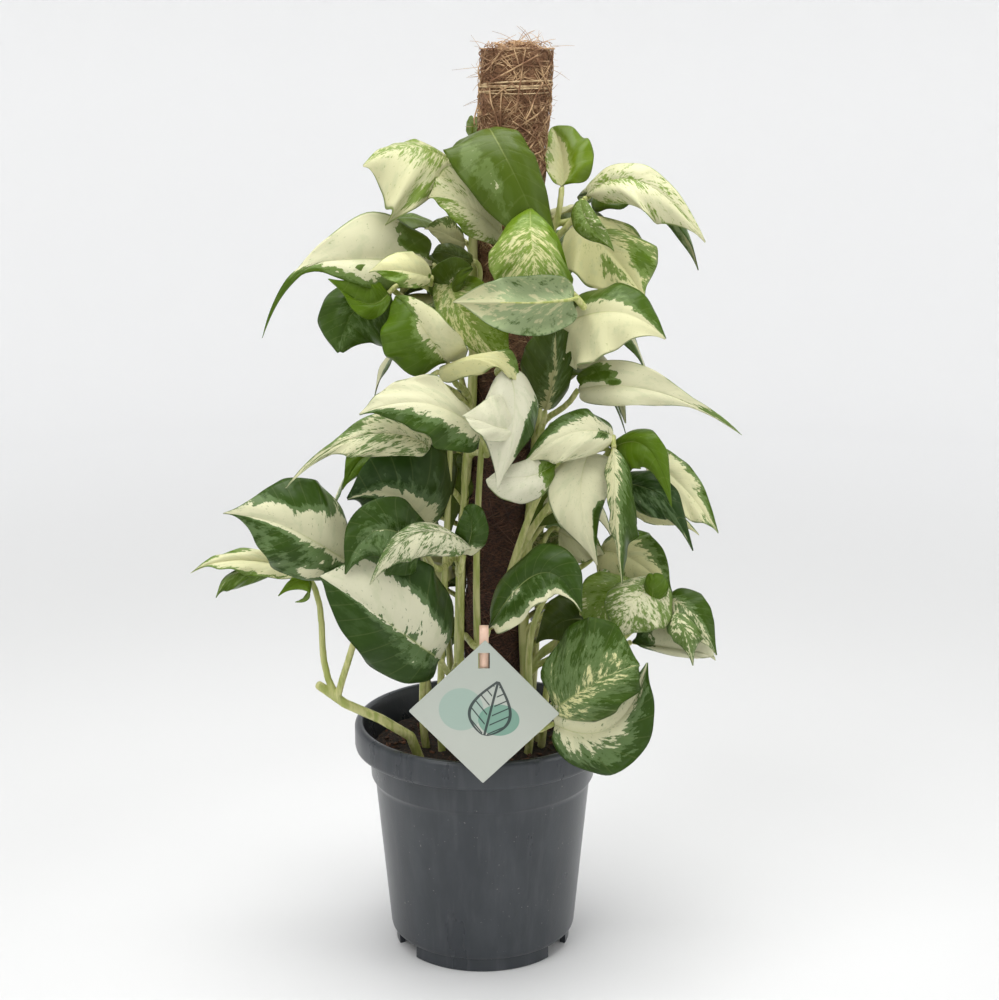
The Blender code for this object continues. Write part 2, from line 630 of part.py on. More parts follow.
def shifts(centre):
    """Small moves to try, nearest first: mostly along the line of sight from the front."""
    sight = (centre - EYE).normalized()
    found = []
    for depth in map(float, np.arange(-3.0, 3.1, 0.3)):
        for side in (-0.4, 0.0, 0.4):
            for rise in (-0.4, 0.0, 0.4):
                move = (sight * depth + Vector((side, 0, rise))) * CM
                found.append((abs(depth) + 2.5 * abs(side) + 2.5 * abs(rise), move))
    return [move for _, move in sorted(found, key=lambda pair: pair[0])]


def place_blade(blade, obstacles):
    """Moves a blade by the smallest shift that clears what stands already."""
    blade.modifiers["thickness"].thickness = BLADE_THICKNESS + 1.0 * MM
    points, faces = evaluated(blade)
    blade.modifiers["thickness"].thickness = BLADE_THICKNESS
    centre = sum(points, Vector()) / len(points)
    for move in shifts(centre):
        tree = BVHTree.FromPolygons([point + move for point in points], faces)
        if not any(tree.overlap(other) for other in obstacles):
            blade.data.transform(Matrix.Translation(move))
            blade.data.update()
            return move
    raise ValueError(f"{blade.name} finds no room")


def place_leaves(fixed):
    """Every leaf, each clear of what stands before it. Their shapes and search trees are returned."""
    green = material("leaf_variegated", (0.45, 0.5, 0.25), 0.4)
    specs, trees = {}, {}
    for name, spec in {**LEAVES, **back_leaves()}.items():
        name = "leaf_" + name
        blade = make_blade(name, spec, green)
        move = place_blade(blade, fixed + list(trees.values()))
        for key in ("base", "crest", "tip", "left", "right"):
            spec[key] = spec[key] + np.array(move) / CM
        specs[name], trees[name] = spec, tree_of(blade)
    return specs, trees


def join_stalks(stems, specs, trees, fixed, stem_trees):
    """A stalk from the nearest stem to each leaf, clear of the other stems and leaves."""
    stalks = {name: [] for name in STEMS}
    for name, spec in specs.items():
        stem = stem_of(name, Vector(spec["base"]) * CM)
        obstacles = fixed + [tree for other, tree in trees.items() if other != name]
        obstacles += [tree for other, tree in stem_trees.items() if other != stem]
        for other, tubes in stalks.items():
            if other != stem:
                obstacles += [tube_tree(points, PETIOLE_RADIUS * 1.15) for points in tubes]
        route = stalk_route(STEMS[stem], spec, obstacles, trees[name])
        if route:
            stalks[stem].append(route)
            join_stalk(stems[stem], len(stalks[stem]), route)


def cut_soil_holes(soil):
    """Room in the soil for the stems and the pole."""
    for name, path in STEMS.items():
        hole = tube_mesh(name + "_hole", path[:4], [STEM_RADIUS + GAP] * 4)
        add_by_boolean(soil, "DIFFERENCE", name + "_hole", hole)
    points = pole_points(POLE_BOTTOM - GAP, POLE_TOP, 8)
    hole = tube_mesh("pole_hole", points, [SLEEVE_RADIUS + GAP] * 8, sides=6)
    add_by_boolean(soil, "DIFFERENCE", "pole_hole", hole)


def main():
    clear_scene()
    pot = make_pot()
    soil = make_soil()
    pole = make_pole()
    tag = make_tag()
    stem_green = material("stem_green", (0.38, 0.42, 0.16), 0.5)
    stems = {name: make_stem(name, path, stem_green) for name, path in STEMS.items()}
    fixed = [tree_of(item) for item in (pot, soil, *pole[1:], *tag)]
    stem_trees = {name: tree_of(item) for name, item in stems.items()}
    specs, trees = place_leaves(fixed + list(stem_trees.values()))
    join_stalks(stems, specs, trees, fixed, stem_trees)
    cut_soil_holes(soil)
    for item in list(COLLECTION.objects):
        settle(item)
    for helper in list(CUTTERS.objects):
        bpy.data.objects.remove(helper)


main()
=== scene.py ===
"""How the climbing plant looks: variegated leaves, a coir pole, a nursery pot and its tag.

Metres, +Z up. The pot stands on z = 0, its axis is the z axis, and -Y is the front.
"""

import math
import random

import bmesh
import bpy
import numpy as np
from mathutils import Matrix, Vector, noise


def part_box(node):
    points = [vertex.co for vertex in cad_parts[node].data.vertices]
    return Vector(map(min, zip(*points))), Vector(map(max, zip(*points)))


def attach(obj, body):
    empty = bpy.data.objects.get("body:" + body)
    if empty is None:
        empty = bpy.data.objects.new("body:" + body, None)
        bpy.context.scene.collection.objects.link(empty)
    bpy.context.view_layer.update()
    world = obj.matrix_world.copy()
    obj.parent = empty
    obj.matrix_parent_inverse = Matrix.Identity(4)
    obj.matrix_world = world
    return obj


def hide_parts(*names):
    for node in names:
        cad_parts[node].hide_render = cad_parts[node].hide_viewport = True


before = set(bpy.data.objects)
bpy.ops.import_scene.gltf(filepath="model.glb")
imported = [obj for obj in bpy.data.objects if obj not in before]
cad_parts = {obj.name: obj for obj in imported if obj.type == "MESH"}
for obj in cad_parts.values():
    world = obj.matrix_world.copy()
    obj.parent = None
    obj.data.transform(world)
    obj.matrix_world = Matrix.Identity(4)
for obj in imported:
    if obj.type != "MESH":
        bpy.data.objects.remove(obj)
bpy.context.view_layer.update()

CM = 0.01
MM = 0.001

# Pot
RIM_RADIUS = 85 * MM
RIM_HEIGHT = 18 * MM
POT_HEIGHT = 155 * MM
COLLAR_RADIUS = 75 * MM
WALL_TOP_RADIUS = 71.5 * MM
WALL_FOOT_RADIUS = 62 * MM
FOOT_RADIUS = 58.8 * MM
FOOT_HEIGHT = 10 * MM
PAD_RADIUS = 9 * MM
WALL = 2 * MM
POT_STEPS = 160
SLOT_COUNT = 3
SLOT_WIDTH = 24 * MM
SOIL_TOP = 139 * MM
SOIL_RADIUS = 73.5 * MM

# Pole
POLE_TOP = 590 * MM
POLE_BOTTOM = 50 * MM
SLEEVE_RADIUS = 20 * MM
TIE_HEIGHT = 565 * MM

# Tag
TAG_SIDE = 65 * MM
TAG_THICKNESS = 0.8 * MM
TAG_CENTRE = Vector((0.2, -9.8, 19.4)) * CM
TAG_SPIN = math.radians(46)
STRAP_WIDTH = 5.5 * MM

# Stems and leaves
STEM_RADIUS = 3.2 * MM
STALK_RADIUS = 1.9 * MM
BLADE_THICKNESS = 0.45 * MM
BLADE_ACROSS = 28
BLADE_ALONG = 46


# ---------------------------------------------------------------- shader helpers


class Value:
    """A shader socket that can be added, multiplied and compared."""

    def __init__(self, tree, socket):
        self.tree = tree
        self.socket = socket

    def node(self, kind, settings=None, output=0, **values):
        """Another node. Inputs go by name, or by number as n0, n1 and so on; each is a Value or a constant."""
        made = self.tree.nodes.new(kind)
        for key, setting in (settings or {}).items():
            setattr(made, key, setting)
        for key, value in values.items():
            numbered = key[0] == "n" and key[1:].isdigit()
            place = made.inputs[int(key[1:]) if numbered else key.replace("_", " ")]
            if isinstance(value, Value):
                self.tree.links.new(value.socket, place)
            else:
                place.default_value = value
        return Value(self.tree, made.outputs[output])

    def math(self, operation, *others, clamp=False):
        values = {f"n{i}": value for i, value in enumerate((self, *others))}
        return self.node("ShaderNodeMath", {"operation": operation, "use_clamp": clamp}, **values)

    def __add__(self, other):
        return self.math("ADD", other)

    __radd__ = __add__

    def __sub__(self, other):
        return self.math("SUBTRACT", other)

    def __rsub__(self, other):
        return (self * -1.0) + other

    def __mul__(self, other):
        return self.math("MULTIPLY", other)

    __rmul__ = __mul__

    def __truediv__(self, other):
        return self.math("DIVIDE", other)

    def __pow__(self, other):
        return self.math("POWER", other)

    def __abs__(self):
        return self.math("ABSOLUTE")

    def step(self, start, end):
        """0 below start, 1 above end, smooth between; start may lie above end."""
        settings = {"interpolation_type": "SMOOTHSTEP"}
        low, high = (0.0, 1.0) if start < end else (1.0, 0.0)
        start, end = sorted((start, end))
        return self.node("ShaderNodeMapRange", settings, n0=self, n1=start, n2=end, n3=low, n4=high)

    def wave(self, turns):
        return (self * (2 * math.pi * turns)).math("SINE")

    def at_least(self, other):
        return self.math("MAXIMUM", other)

    def at_most(self, other):
        return self.math("MINIMUM", other)

    def part(self, axis):
        return self.node("ShaderNodeSeparateXYZ", output=axis, n0=self)

    def combined(self, *parts):
        return self.node("ShaderNodeCombineXYZ", n0=parts[0], n1=parts[1], n2=parts[2])

    def scaled(self, factors):
        return self.node("ShaderNodeVectorMath", {"operation": "MULTIPLY"}, n0=self, n1=factors)

    def noise(self, scale, detail=2.0, roughness=0.5):
        """Noise at this vector, about 0.5 on average."""
        return self.node("ShaderNodeTexNoise", n0=self, Scale=scale, Detail=detail, Roughness=roughness)

    def blend(self, factor, other):
        """This colour, turning into the other one."""
        return self.node("ShaderNodeMix", {"data_type": "RGBA"}, output=2, n0=factor, n6=self, n7=other)


class Surface:
    """A material built from Values: its object coordinates, its own attributes and its colours."""

    def __init__(self, name, roughness=0.5, **constants):
        self.material = bpy.data.materials.new(name)
        self.material.use_nodes = True
        self.tree = self.material.node_tree
        self.shader = self.tree.nodes["Principled BSDF"]
        self.start = Value(self.tree, None)
        self.set(Roughness=roughness, **constants)

    def set(self, **values):
        for key, value in values.items():
            place = self.shader.inputs[key.replace("_", " ")]
            if isinstance(value, Value):
                self.tree.links.new(value.socket, place)
            elif isinstance(value, tuple):
                place.default_value = (*value, 1.0)
            else:
                place.default_value = value
        return self

    def here(self):
        """The point's place in the object, in metres."""
        return self.start.node("ShaderNodeTexCoord", output=3)

    def attribute(self, name):
        return self.start.node("ShaderNodeAttribute", {"attribute_name": name}, output=2)

    def uv(self):
        return self.start.node("ShaderNodeUVMap", {"uv_map": "blade"})

    def colour(self, *rgb):
        made = self.tree.nodes.new("ShaderNodeRGB")
        made.outputs[0].default_value = (*rgb, 1.0)
        return Value(self.tree, made.outputs[0])

    def bump(self, height, distance, strength=1.0):
        made = self.start.node("ShaderNodeBump", Strength=strength, Distance=distance, Height=height)
        return self.set(Normal=made)


# ---------------------------------------------------------------- mesh helpers


def piece(name, mesh, *surfaces, replaces=(), slot=None):
    """A finished piece that moves with the plant."""
    made = bpy.data.objects.new(name, mesh)
    bpy.context.scene.collection.objects.link(made)
    while len(mesh.materials) < len(surfaces):
        mesh.materials.append(None)
    for i, surface in enumerate(surfaces):
        mesh.materials[i] = surface.material
    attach(made, "root")
    if replaces:
        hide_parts(*replaces)
    return made


def mesh_of(name, shape, smooth_angle=None):
    """Turns a bmesh into a mesh, shaded smooth where its faces meet at less than the angle."""
    mesh = bpy.data.meshes.new(name)
    shape.to_mesh(mesh)
    shape.free()
    if smooth_angle is not None:
        mesh.polygons.foreach_set("use_smooth", [True] * len(mesh.polygons))
        if smooth_angle < 180:
            mesh.set_sharp_from_angle(angle=math.radians(smooth_angle))
    return mesh


def with_modifiers(mesh, *modifiers):
    """The mesh with (type, settings) modifiers applied."""
    holder = bpy.data.objects.new(mesh.name, mesh)
    bpy.context.scene.collection.objects.link(holder)
    for kind, settings in modifiers:
        made = holder.modifiers.new(kind.lower(), kind)
        for key, value in settings.items():
            setattr(made, key, value)
    graph = bpy.context.evaluated_depsgraph_get()
    result = bpy.data.meshes.new_from_object(holder.evaluated_get(graph))
    bpy.data.objects.remove(holder)
    return result


def tube_mesh(points, radii, sides=2, caps=True):
    """A round tube through the points."""
    curve = bpy.data.curves.new("tube", "CURVE")
    curve.dimensions = "3D"
    curve.bevel_depth = 1.0
    curve.bevel_resolution = sides
    curve.use_fill_caps = caps
    spline = curve.splines.new("POLY")
    spline.points.add(len(points) - 1)
    for place, point, radius in zip(spline.points, points, radii):
        place.co = (*point, 1.0)
        place.radius = radius
    holder = bpy.data.objects.new("tube", curve)
    bpy.context.scene.collection.objects.link(holder)
    graph = bpy.context.evaluated_depsgraph_get()
    mesh = bpy.data.meshes.new_from_object(holder.evaluated_get(graph))
    bpy.data.objects.remove(holder)
    bpy.data.curves.remove(curve)
    return mesh


def add_tube(shape, points, radii, sides=2, material=0):
    """Adds a closed tube to a bmesh."""
    mesh = tube_mesh(points, radii, sides)
    before = len(shape.faces)
    shape.from_mesh(mesh)
    bpy.data.meshes.remove(mesh)
    shape.faces.ensure_lookup_table()
    added = shape.faces[before:]
    for face in added:
        face.material_index = material
        face.smooth = True
    points = list({vertex for face in added for vertex in face.verts})
    bmesh.ops.remove_doubles(shape, verts=points, dist=0.01 * MM)


def turned(name, profile, steps):
    """A closed profile of (radius, height) turned about the z axis."""
    shape = bmesh.new()
    verts = [shape.verts.new((radius, 0, height)) for radius, height in profile]
    edges = [shape.edges.new(pair) for pair in zip(verts, verts[1:])]
    if profile[0][0] > 0:
        edges.append(shape.edges.new((verts[-1], verts[0])))
    bmesh.ops.spin(shape, geom=verts + edges, cent=(0, 0, 0), axis=(0, 0, 1), angle=2 * math.pi,
                   steps=steps, use_merge=True)
    bmesh.ops.remove_doubles(shape, verts=shape.verts, dist=0.01 * MM)
    bmesh.ops.recalc_face_normals(shape, faces=shape.faces)
    return mesh_of(name, shape, 40)


def pole_axis(height):
    """The pole leans to the right, more so near its top."""
    z = height / CM
    return Vector(((0.6 + 0.004 * z + 0.0004 * z * z) * CM, 0.6 * CM, height))


def around(centre, reach, angle):
    """The point at a reach and an angle about an upright line through the centre."""
    return centre + Vector((reach * math.cos(angle), reach * math.sin(angle), 0))


# ---------------------------------------------------------------- leaf blades

# Half of a blade: station, reach to the side, then how far along the blade its edge and midrib lie
OUTLINE = np.array([
    (0.00, 0.05, 0.00, 0.00),
    (0.10, 0.48, -0.10, 0.01),
    (0.22, 0.86, -0.055, 0.04),
    (0.36, 1.00, 0.11, 0.11),
    (0.52, 0.90, 0.34, 0.24),
    (0.68, 0.66, 0.57, 0.43),
    (0.82, 0.36, 0.77, 0.65),
    (0.93, 0.12, 0.92, 0.86),
    (1.00, 0.02, 1.00, 1.00),
])
WIDEST = 0.11
WIDEST_STATION = 0.36
DOME = 0.08  # how far a blade bulges between its midrib and its edge, in half widths
WAVE = 0.05
WAVES = 2.2
RIGHT_PHASE = 1.9


def along_outline(station, column):
    """A smooth curve through one column of the outline."""
    x, y = OUTLINE[:, 0], OUTLINE[:, column]
    slope = np.gradient(y, x)
    i = np.clip(np.searchsorted(x, station, side="right") - 1, 0, len(x) - 2)
    step = x[i + 1] - x[i]
    t = (station - x[i]) / step
    rise = (3 - 2 * t) * t * t
    ends = (1 - rise) * y[i] + rise * y[i + 1]
    return ends + t * (1 - t) * step * ((1 - t) * slope[i] - t * slope[i + 1])


def unit(vectors):
    return vectors / np.maximum(np.linalg.norm(vectors, axis=-1, keepdims=True), 1e-9)


def turned_with(vectors, start, end):
    """The vectors turned as the direction start turns into end."""
    start = np.broadcast_to(start, end.shape)
    axis = np.cross(start, end)
    cosine = np.sum(start * end, -1, keepdims=True)
    lean = np.sum(axis * vectors, -1, keepdims=True) / (1 + np.maximum(cosine, -0.95))
    return vectors * cosine + np.cross(axis, vectors) + axis * lean


def leaf(base, crest, tip, left, right, hook=(0, 0, 0), slim=0.0, tail=0.0, wide=WIDEST, look=None):
    """A blade in cm: where its stalk meets it, then the middle of its midrib, its tip and its two
    widest edge points as seen from there. hook bends the tip further, slim narrows it, and tail
    keeps that width, in half widths, up to the tip."""
    base = np.array(base, float)
    spots = [base + np.array(offset, float) for offset in (crest, tip, left, right)]
    return dict(base=base, crest=spots[0], tip=spots[1], left=spots[2], right=spots[3],
                hook=np.array(hook, float), slim=slim, tail=tail, wide=wide, look=look)


def look(*bands, tint=0.4, marble=0.0, base=0.0, tip=0.0, patches=(), warm=0.5):
    """How cream a blade is, 0 green to 1 cream: five bands from its left edge to its right, what its base
    and its tip add, and patches of (across, station, size, value). tint runs from dark to yellow-green,
    marble speckles it, warm turns the cream from white to yellow."""
    return dict(bands=bands, tint=tint, marble=marble, base=base, tip=tip, patches=patches, warm=warm)


def midrib(spec, along):
    along = np.asarray(along, float)[..., None]
    bend = 2 * spec["crest"] - (spec["base"] + spec["tip"]) / 2
    point = (1 - along) ** 2 * spec["base"] + 2 * along * (1 - along) * bend + along**2 * spec["tip"]
    slope = 2 * (1 - along) * (bend - spec["base"]) + 2 * along * (spec["tip"] - bend)
    late = np.clip((along - 0.55) / 0.45, 0, None)
    return point + spec["hook"] * late**2, slope + spec["hook"] * late * 2 / 0.45


def blade_points(spec, across, station, fine=0.0, phase=0.0):
    """Points of a blade in cm, at across -1 to 1 and station 0 to 1. fine adds a groove and small waves."""
    side_share = np.abs(across)
    reach, edge, middle = (along_outline(station, column) for column in (1, 2, 3))
    shift = (spec["wide"] - WIDEST) * np.sin(np.pi * station**0.7)
    edge, middle = edge + shift, middle + shift
    reach = np.where(station > WIDEST_STATION, np.maximum(reach, 0) ** (1 + spec["slim"]), reach)
    reach = np.maximum(reach, spec["tail"] * np.minimum(1, 4 * (1 - station)))
    point, slope = midrib(spec, middle + (edge - middle) * side_share**1.15)
    point = point - fine * 6 * (np.maximum(station - 0.7, 0) ** 2)[..., None] * (0, 0, 1)
    heading = unit(slope)
    start, start_slope = midrib(spec, spec["wide"])
    start_heading = unit(start_slope)
    left, right = spec["left"] - start, spec["right"] - start
    normal = unit(np.cross(start_heading, left - right))
    side = turned_with(np.where((across >= 0)[..., None], left, right), start_heading, heading)
    normal = turned_with(np.broadcast_to(normal, heading.shape), start_heading, heading)
    width = np.linalg.norm(side, axis=-1) * reach
    ripple = np.sin(2 * np.pi * WAVES * station + np.where(across >= 0, 0, RIGHT_PHASE))
    lift = DOME * np.sin(np.pi * side_share) + WAVE * side_share**2 * ripple
    groove = np.exp(-((side_share / 0.09) ** 2))
    small = np.sin(2 * np.pi * 4.3 * station + phase + 2 * across)
    curl = np.where(across >= 0, 0.2 * math.sin(3.1 * phase), 0.2 * math.cos(phase))
    outer = np.clip((side_share - 0.4) / 0.6, 0, None) ** 2
    lift = lift + fine * (0.08 * side_share**3 * small - 0.03 * groove * (1 - station) + curl * outer)
    lift = lift + fine * (0.8 * DOME * np.sin(np.pi * side_share) + 1.1 * WAVE * side_share**2 * ripple)
    return point + side * (reach * side_share)[..., None] + normal * (lift * width)[..., None]


LEAVES = {
    "crown": leaf(
        (0.5, -2.5, 54), (1, -3, -1.5), (4, -3.5, -7.5), (2.5, -2, -1), (-2.5, -2, -2), slim=-0.4, wide=0.3,
        look=look(0, 0, 0, 0.05, 0, tint=0.4, patches=[(-0.6, 0.45, 0.25, 0.42), (-0.55, 0.65, 0.25, 0.42)])),
    # heart_front: base=-0.7 makes its base greener and darker, painted shade in the fold by its stalk
    "heart_front": leaf(
        (3, -6, 49.5), (0, -2.5, -1.5), (0.5, -3, -6), (2.5, -2, -3.5), (-2.5, -2, -3), slim=-0.3, wide=0.4,
        look=look(0.1, 0.4, 0.5, 0.5, 0.4, tint=0.95, marble=1, base=-0.7, warm=0.9)),
    "heart_flap": leaf(
        (5.5, -8.5, 44.5), (-3.5, -2, 0), (-7, -1.5, 0.5), (-2.5, -1, 1.5), (-2.5, -1, -2),
        look=look(0.36, 0.4, 0.42, 0.42, 0.36, tint=0.2, marble=0.3, tip=0.2)),
    "crown_left": leaf(
        (-1.5, -2.5, 52), (-2.5, -1.5, 1), (-5.5, -2, 0.5), (-3.5, -3.5, -3), (-2.5, 1, 1), wide=0.2,
        look=look(0.7, 0.75, 0.5, 0.48, 0.52, tint=0.9, marble=0.9, warm=0.6,
                  patches=[(0.7, 0.3, 0.2, 0.3), (0, 0.5, 0.3, 0.4)])),
    "crown_left_low": leaf(
        (1, -4, 48), (-2, -1.5, 2), (-4.5, -1, 3), (-2.5, -1.5, 0.5), (-2.5, -0.5, 4), wide=0.25,
        look=look(0.3, 0.65, 0.72, 0.6, 0.6, tint=0.8, marble=0.9, warm=0.6,
                  patches=[(0.5, 0.85, 0.25, 0.2)])),
    "crown_right": leaf(
        (5, -0.5, 50.5), (0, 2, 2), (-0.5, 4, 4), (-1, 1, 1.5), (2, 1, 2),
        look=look(0.4, 0.6, 0.95, 0.0, 0.0, tint=1, warm=0.7)),
    "right_high": leaf(
        (6.5, -2, 50), (3, -2, 1), (7, -3, -2), (2, -0.5, 2), (3, -3, -0.5), wide=0.25,
        look=look(0.62, 0.62, 0.5, 0.7, 0.58, tint=0.9, marble=0.8, warm=0.5)),
    "right_high_under": leaf(
        (6, -1, 48.5), (2, -1, -2), (4, -2, -4), (4.5, 0.5, -1), (-0.5, -1.5, -3.5),
        look=look(0.35, 0.65, 0.8, 0.75, 0.75, tint=0.7, marble=0.7, warm=0.9,
                  patches=[(0.3, 0.5, 0.22, 0.3), (-0.4, 0.75, 0.3, 0.35), (0.7, 0.7, 0.25, 0.1)])),
    "left_long": leaf(
        (-3, -3.5, 46), (-5.5, -3, 0.5), (-10.5, -3.5, -0.5), (-3, -3, -1), (-3.5, -1, 3),
        hook=(0.5, 0, -3), slim=4, tail=0.1, wide=0.3,
        look=look(0.2, 0.75, 1, 1, 0.9, tint=0.5, tip=-1.2, warm=0.4,
                  patches=[(-0.9, 0.12, 0.35, -0.1), (-0.5, 0.15, 0.2, 0.1)])),
    "left_dark": leaf(
        (-5.5, -4, 44.5), (-2, -1.5, -1), (-3, -2, -3), (0, -1, -3.5), (-3.5, -1, 0), slim=-0.3, tail=0.1,
        wide=0.25,
        look=look(0.1, 0.2, 0.22, 0.22, 0.05, tint=0.3)),
    "left_small": leaf(
        (-3, -6, 45.5), (-1.5, -1.5, 0.5), (-3.5, -2, 1), (-1.5, -1.5, -0.5), (-1, -0.5, 1.5),
        look=look(0.3, 0.7, 0.9, 0.9, 0.8, tint=0.7, marble=0.3, warm=0.8,
                  patches=[(0, 0.12, 0.25, 0.1), (0.6, 0.75, 0.35, 0.1)])),
    "centre_marbled": leaf(
        (-2, -4.5, 45), (1.5, -1.5, -2.5), (4, -1.5, -5), (3, -1, -1), (-0.5, -1, -2),
        look=look(0, 0.3, 0.5, 0.5, 0.4, tint=0.9, marble=1, warm=1)),
    "left_two_tone": leaf(
        (-2, -7, 40.5), (-1.5, -1.5, 2.5), (-3, 0, 4.5), (-3.5, -1, 0.5), (1, -1, 1.5), wide=0.25,
        look=look(0, 0, 0.6, 0.95, 0.9, tint=0.6, warm=0.6, tip=-0.6)),
    "centre_white": leaf(
        (1.5, -8.5, 40.5), (0.5, -1.5, -2.5), (-0.5, -2, -6.5), (2, -0.5, -2.5), (-1.5, -1.5, -2.5), tail=0.2,
        wide=0.2,
        look=look(0.8, 1, 1, 1, 1, tint=0.2, warm=0.1,
                  patches=[(0.9, 0.6, 0.35, -0.2), (0.9, 0.35, 0.2, 0.4)])),
    "centre_cup": leaf(
        (4.5, -8, 34.5), (-2, -1.5, -0.5), (-4, -1.5, 0), (-1.5, -1.5, -2), (-1.5, -0.5, 0.5), slim=-0.4,
        wide=0.3,
        look=look(0.7, 0.7, 0.75, 0.8, 0.8, tint=0.6, base=-1.0, warm=0.1)),
    "right_cream": leaf(
        (5, -5, 42.5), (3, -2, 1), (6, -2.5, 0), (2.5, 0, 2.5), (1.5, -2, -2.5), wide=0.2,
        look=look(0, 0.25, 1, 1, 1, tint=0.4, warm=0.6)),
    "centre_dark": leaf(
        (4, -3.5, 37), (0.5, -1.5, 3), (0.5, -2, 6), (-1.5, -1, 3), (1.5, -2, 2.5),
        look=look(0, 0.05, 0.65, 0.3, 0, tint=0.2, base=0.2, warm=0.8)),
    "right_long": leaf(
        (6, -5, 38.5), (4, -3, 0.5), (9.5, -4, -1.5), (2.5, -1.5, 2), (2, -2.5, -0.5), slim=1.5, tail=0.2,
        wide=0.25,
        look=look(0.9, 1, 1, 1, 1, tint=0.5, tip=-0.55, warm=0.4,
                  patches=[(0.8, 0.12, 0.3, -0.1), (0.4, 0.26, 0.25, -0.1), (0.1, 0.38, 0.14, 0.0)])),
    "left_mid": leaf(
        (0, -8.5, 36.5), (-3, -1.5, 2), (-7, -2, 2), (-2.5, -2, -0.5), (-3, 0, 3),
        look=look(0, 0.45, 0.95, 0.95, 0.75, tint=0.25, marble=0.5, warm=0.4)),
    "left_mid_twisted": leaf(
        (-3, -7.5, 35.5), (-4, -2, 1), (-8.5, -2.5, -1.5), (-3.5, -2.5, 0), (-2.5, -0.5, 2),
        slim=1.5, tail=0.2,
        look=look(0.6, 0.55, 0.55, 0.6, 0.3, tint=0.4, marble=0.9, warm=0.5)),
    "left_mid_dark": leaf(
        (-3.5, -6, 30), (-1.5, -2, 2.5), (-4.5, -2.5, 3), (-3.5, -2, 0.5), (2, -0.5, 4.5),
        look=look(0, 0.15, 0.7, 0.15, 0, tint=0.1, warm=0.5,
                  patches=[(0.2, 0.25, 0.4, 0.9), (0.1, 0.55, 0.3, 0.8)])),
    "left_low_large": leaf(
        (-8, -8.5, 28.5), (-3, -2, 2.5), (-6, -2.5, 4), (-3.5, -2.5, 0), (-1.5, -0.5, 5),
        hook=(-1.1, 0, 0.2), slim=0.3, wide=0.2,
        look=look(0.35, 0.2, 0.7, 0.85, 0.4, tint=0.2, marble=0.3, warm=0.4,
                  patches=[(-0.8, 0.55, 0.35, -0.1), (0.75, 0.25, 0.15, 0.9), (0.3, 0.4, 0.2, 0.3)])),
    "left_low_green": leaf(
        (-3.5, -9, 29.5), (-2.5, -1.5, 1.5), (-4.5, -2, -0.5), (-2, -2, -1), (-1.5, 0, 3), wide=0.2,
        look=look(0.1, 0.3, 0.36, 0.2, 0, tint=0.2)),
    "centre_low_small": leaf(
        (-1, -8.5, 29), (0.5, -1, 2), (0, -0.5, 3.5), (-0.5, -0.5, 1.5), (1.5, -1, 1.5), wide=0.25,
        look=look(0, 0.1, 0.1, 0.1, 0, tint=0.2, base=1.1, warm=0.4)),
    "left_low_tip": leaf(
        (-11, -6.5, 27.5), (-3.5, -1.5, 1), (-6.5, -2.5, 1), (-2.5, -2, 0), (-2.5, -0.5, 1.5), slim=0.5,
        look=look(0.3, 0.8, 1, 0.8, 0.3, tint=0.6, warm=0.6)),
    "front_low_large": leaf(
        (-2.5, -9, 22.5), (-3.5, -2.5, 3.5), (-7, -2.5, 6.5), (-3.5, -2.5, 0), (-0.5, -0.5, 6), wide=0.15,
        look=look(0, -0.1, 0.6, 0.9, 0.5, tint=0.15, warm=0.2,
                  patches=[(-0.8, 0.3, 0.4, -0.2), (0.25, 0.3, 0.35, 0.37), (-0.9, 0.5, 0.2, 0.0)])),
    "front_low_arched": leaf(
        (0.5, -9, 24.5), (3, -2, 4), (5.5, -3, 2.5), (2, -0.5, 5), (3, -2.5, 2), wide=0.3,
        look=look(0, 0, 0.05, 0.1, 0.9, tint=0.2, warm=0.4, patches=[(-0.1, 0.25, 0.2, 0.55)])),
    "right_low_olive": leaf(
        (10, -3.5, 25.5), (-2, -1.5, -0.5), (-3, -2, -2), (-1, -1.5, -2.5), (-3, -0.5, 1),
        look=look(0.4, 0.35, 0.4, 0.3, 0.4, tint=0.8, marble=0.7, warm=0.6)),
    "right_low_marbled": leaf(
        (11, -6, 27), (-1.5, -2, -1), (-3, -2.5, -3), (0.5, -2, -2.5), (-3, -1, -0.5), wide=0.3,
        look=look(0.4, 0.5, 0.55, 0.45, 0.35, tint=0.6, marble=0.9, warm=0.4)),
    "right_low_cream": leaf(
        (7.5, -2, 27.5), (2, -2, 0), (4.5, -3, -1.5), (3, -1, 1.5), (1, -2, -2.5),
        look=look(0.1, 0.6, 0.85, 0.7, 0.4, tint=0.4, marble=0.5, warm=0.8)),
    "right_mid_outer": leaf(
        (10, -4.5, 34.5), (2, -1.5, -1.5), (4.5, -2.5, -4), (2.5, -0.5, -0.5), (1.5, -2, -3), wide=0.25,
        look=look(0.3, 0.8, 0.95, 0.85, 0.6, tint=0.4, marble=0.5, tip=-0.3, warm=0.6)),
    "right_mid_dark": leaf(
        (8.5, -4.5, 32.5), (2, -2, 0), (4.5, -2.5, -1.5), (2, -1, 1), (1.5, -2, -1.5), hook=(0, 0, -1.6),
        look=look(0, 0.1, 0.2, 0.4, 0.3, tint=0.1)),
    "right_mid_green": leaf(
        (8, -6, 35), (2, -2, 0.5), (3.5, -2.5, -2.5), (1.5, -1, 1.5), (1, -1.5, -1),
        look=look(0, 0, 0.05, 0, 0, tint=0.7)),
    "right_mid_cream": leaf(
        (8, -7, 36), (-2.5, -1.5, 0.5), (-5.5, -1.5, -1), (-2.5, -2, -1), (-2, 0, 1.5),
        look=look(0.6, 0.8, 0.8, 0.6, 0, tint=0.3, marble=0.5, warm=0.4, patches=[(0.1, 0.35, 0.2, 0.1)])),
    "right_mid_hanging": leaf(
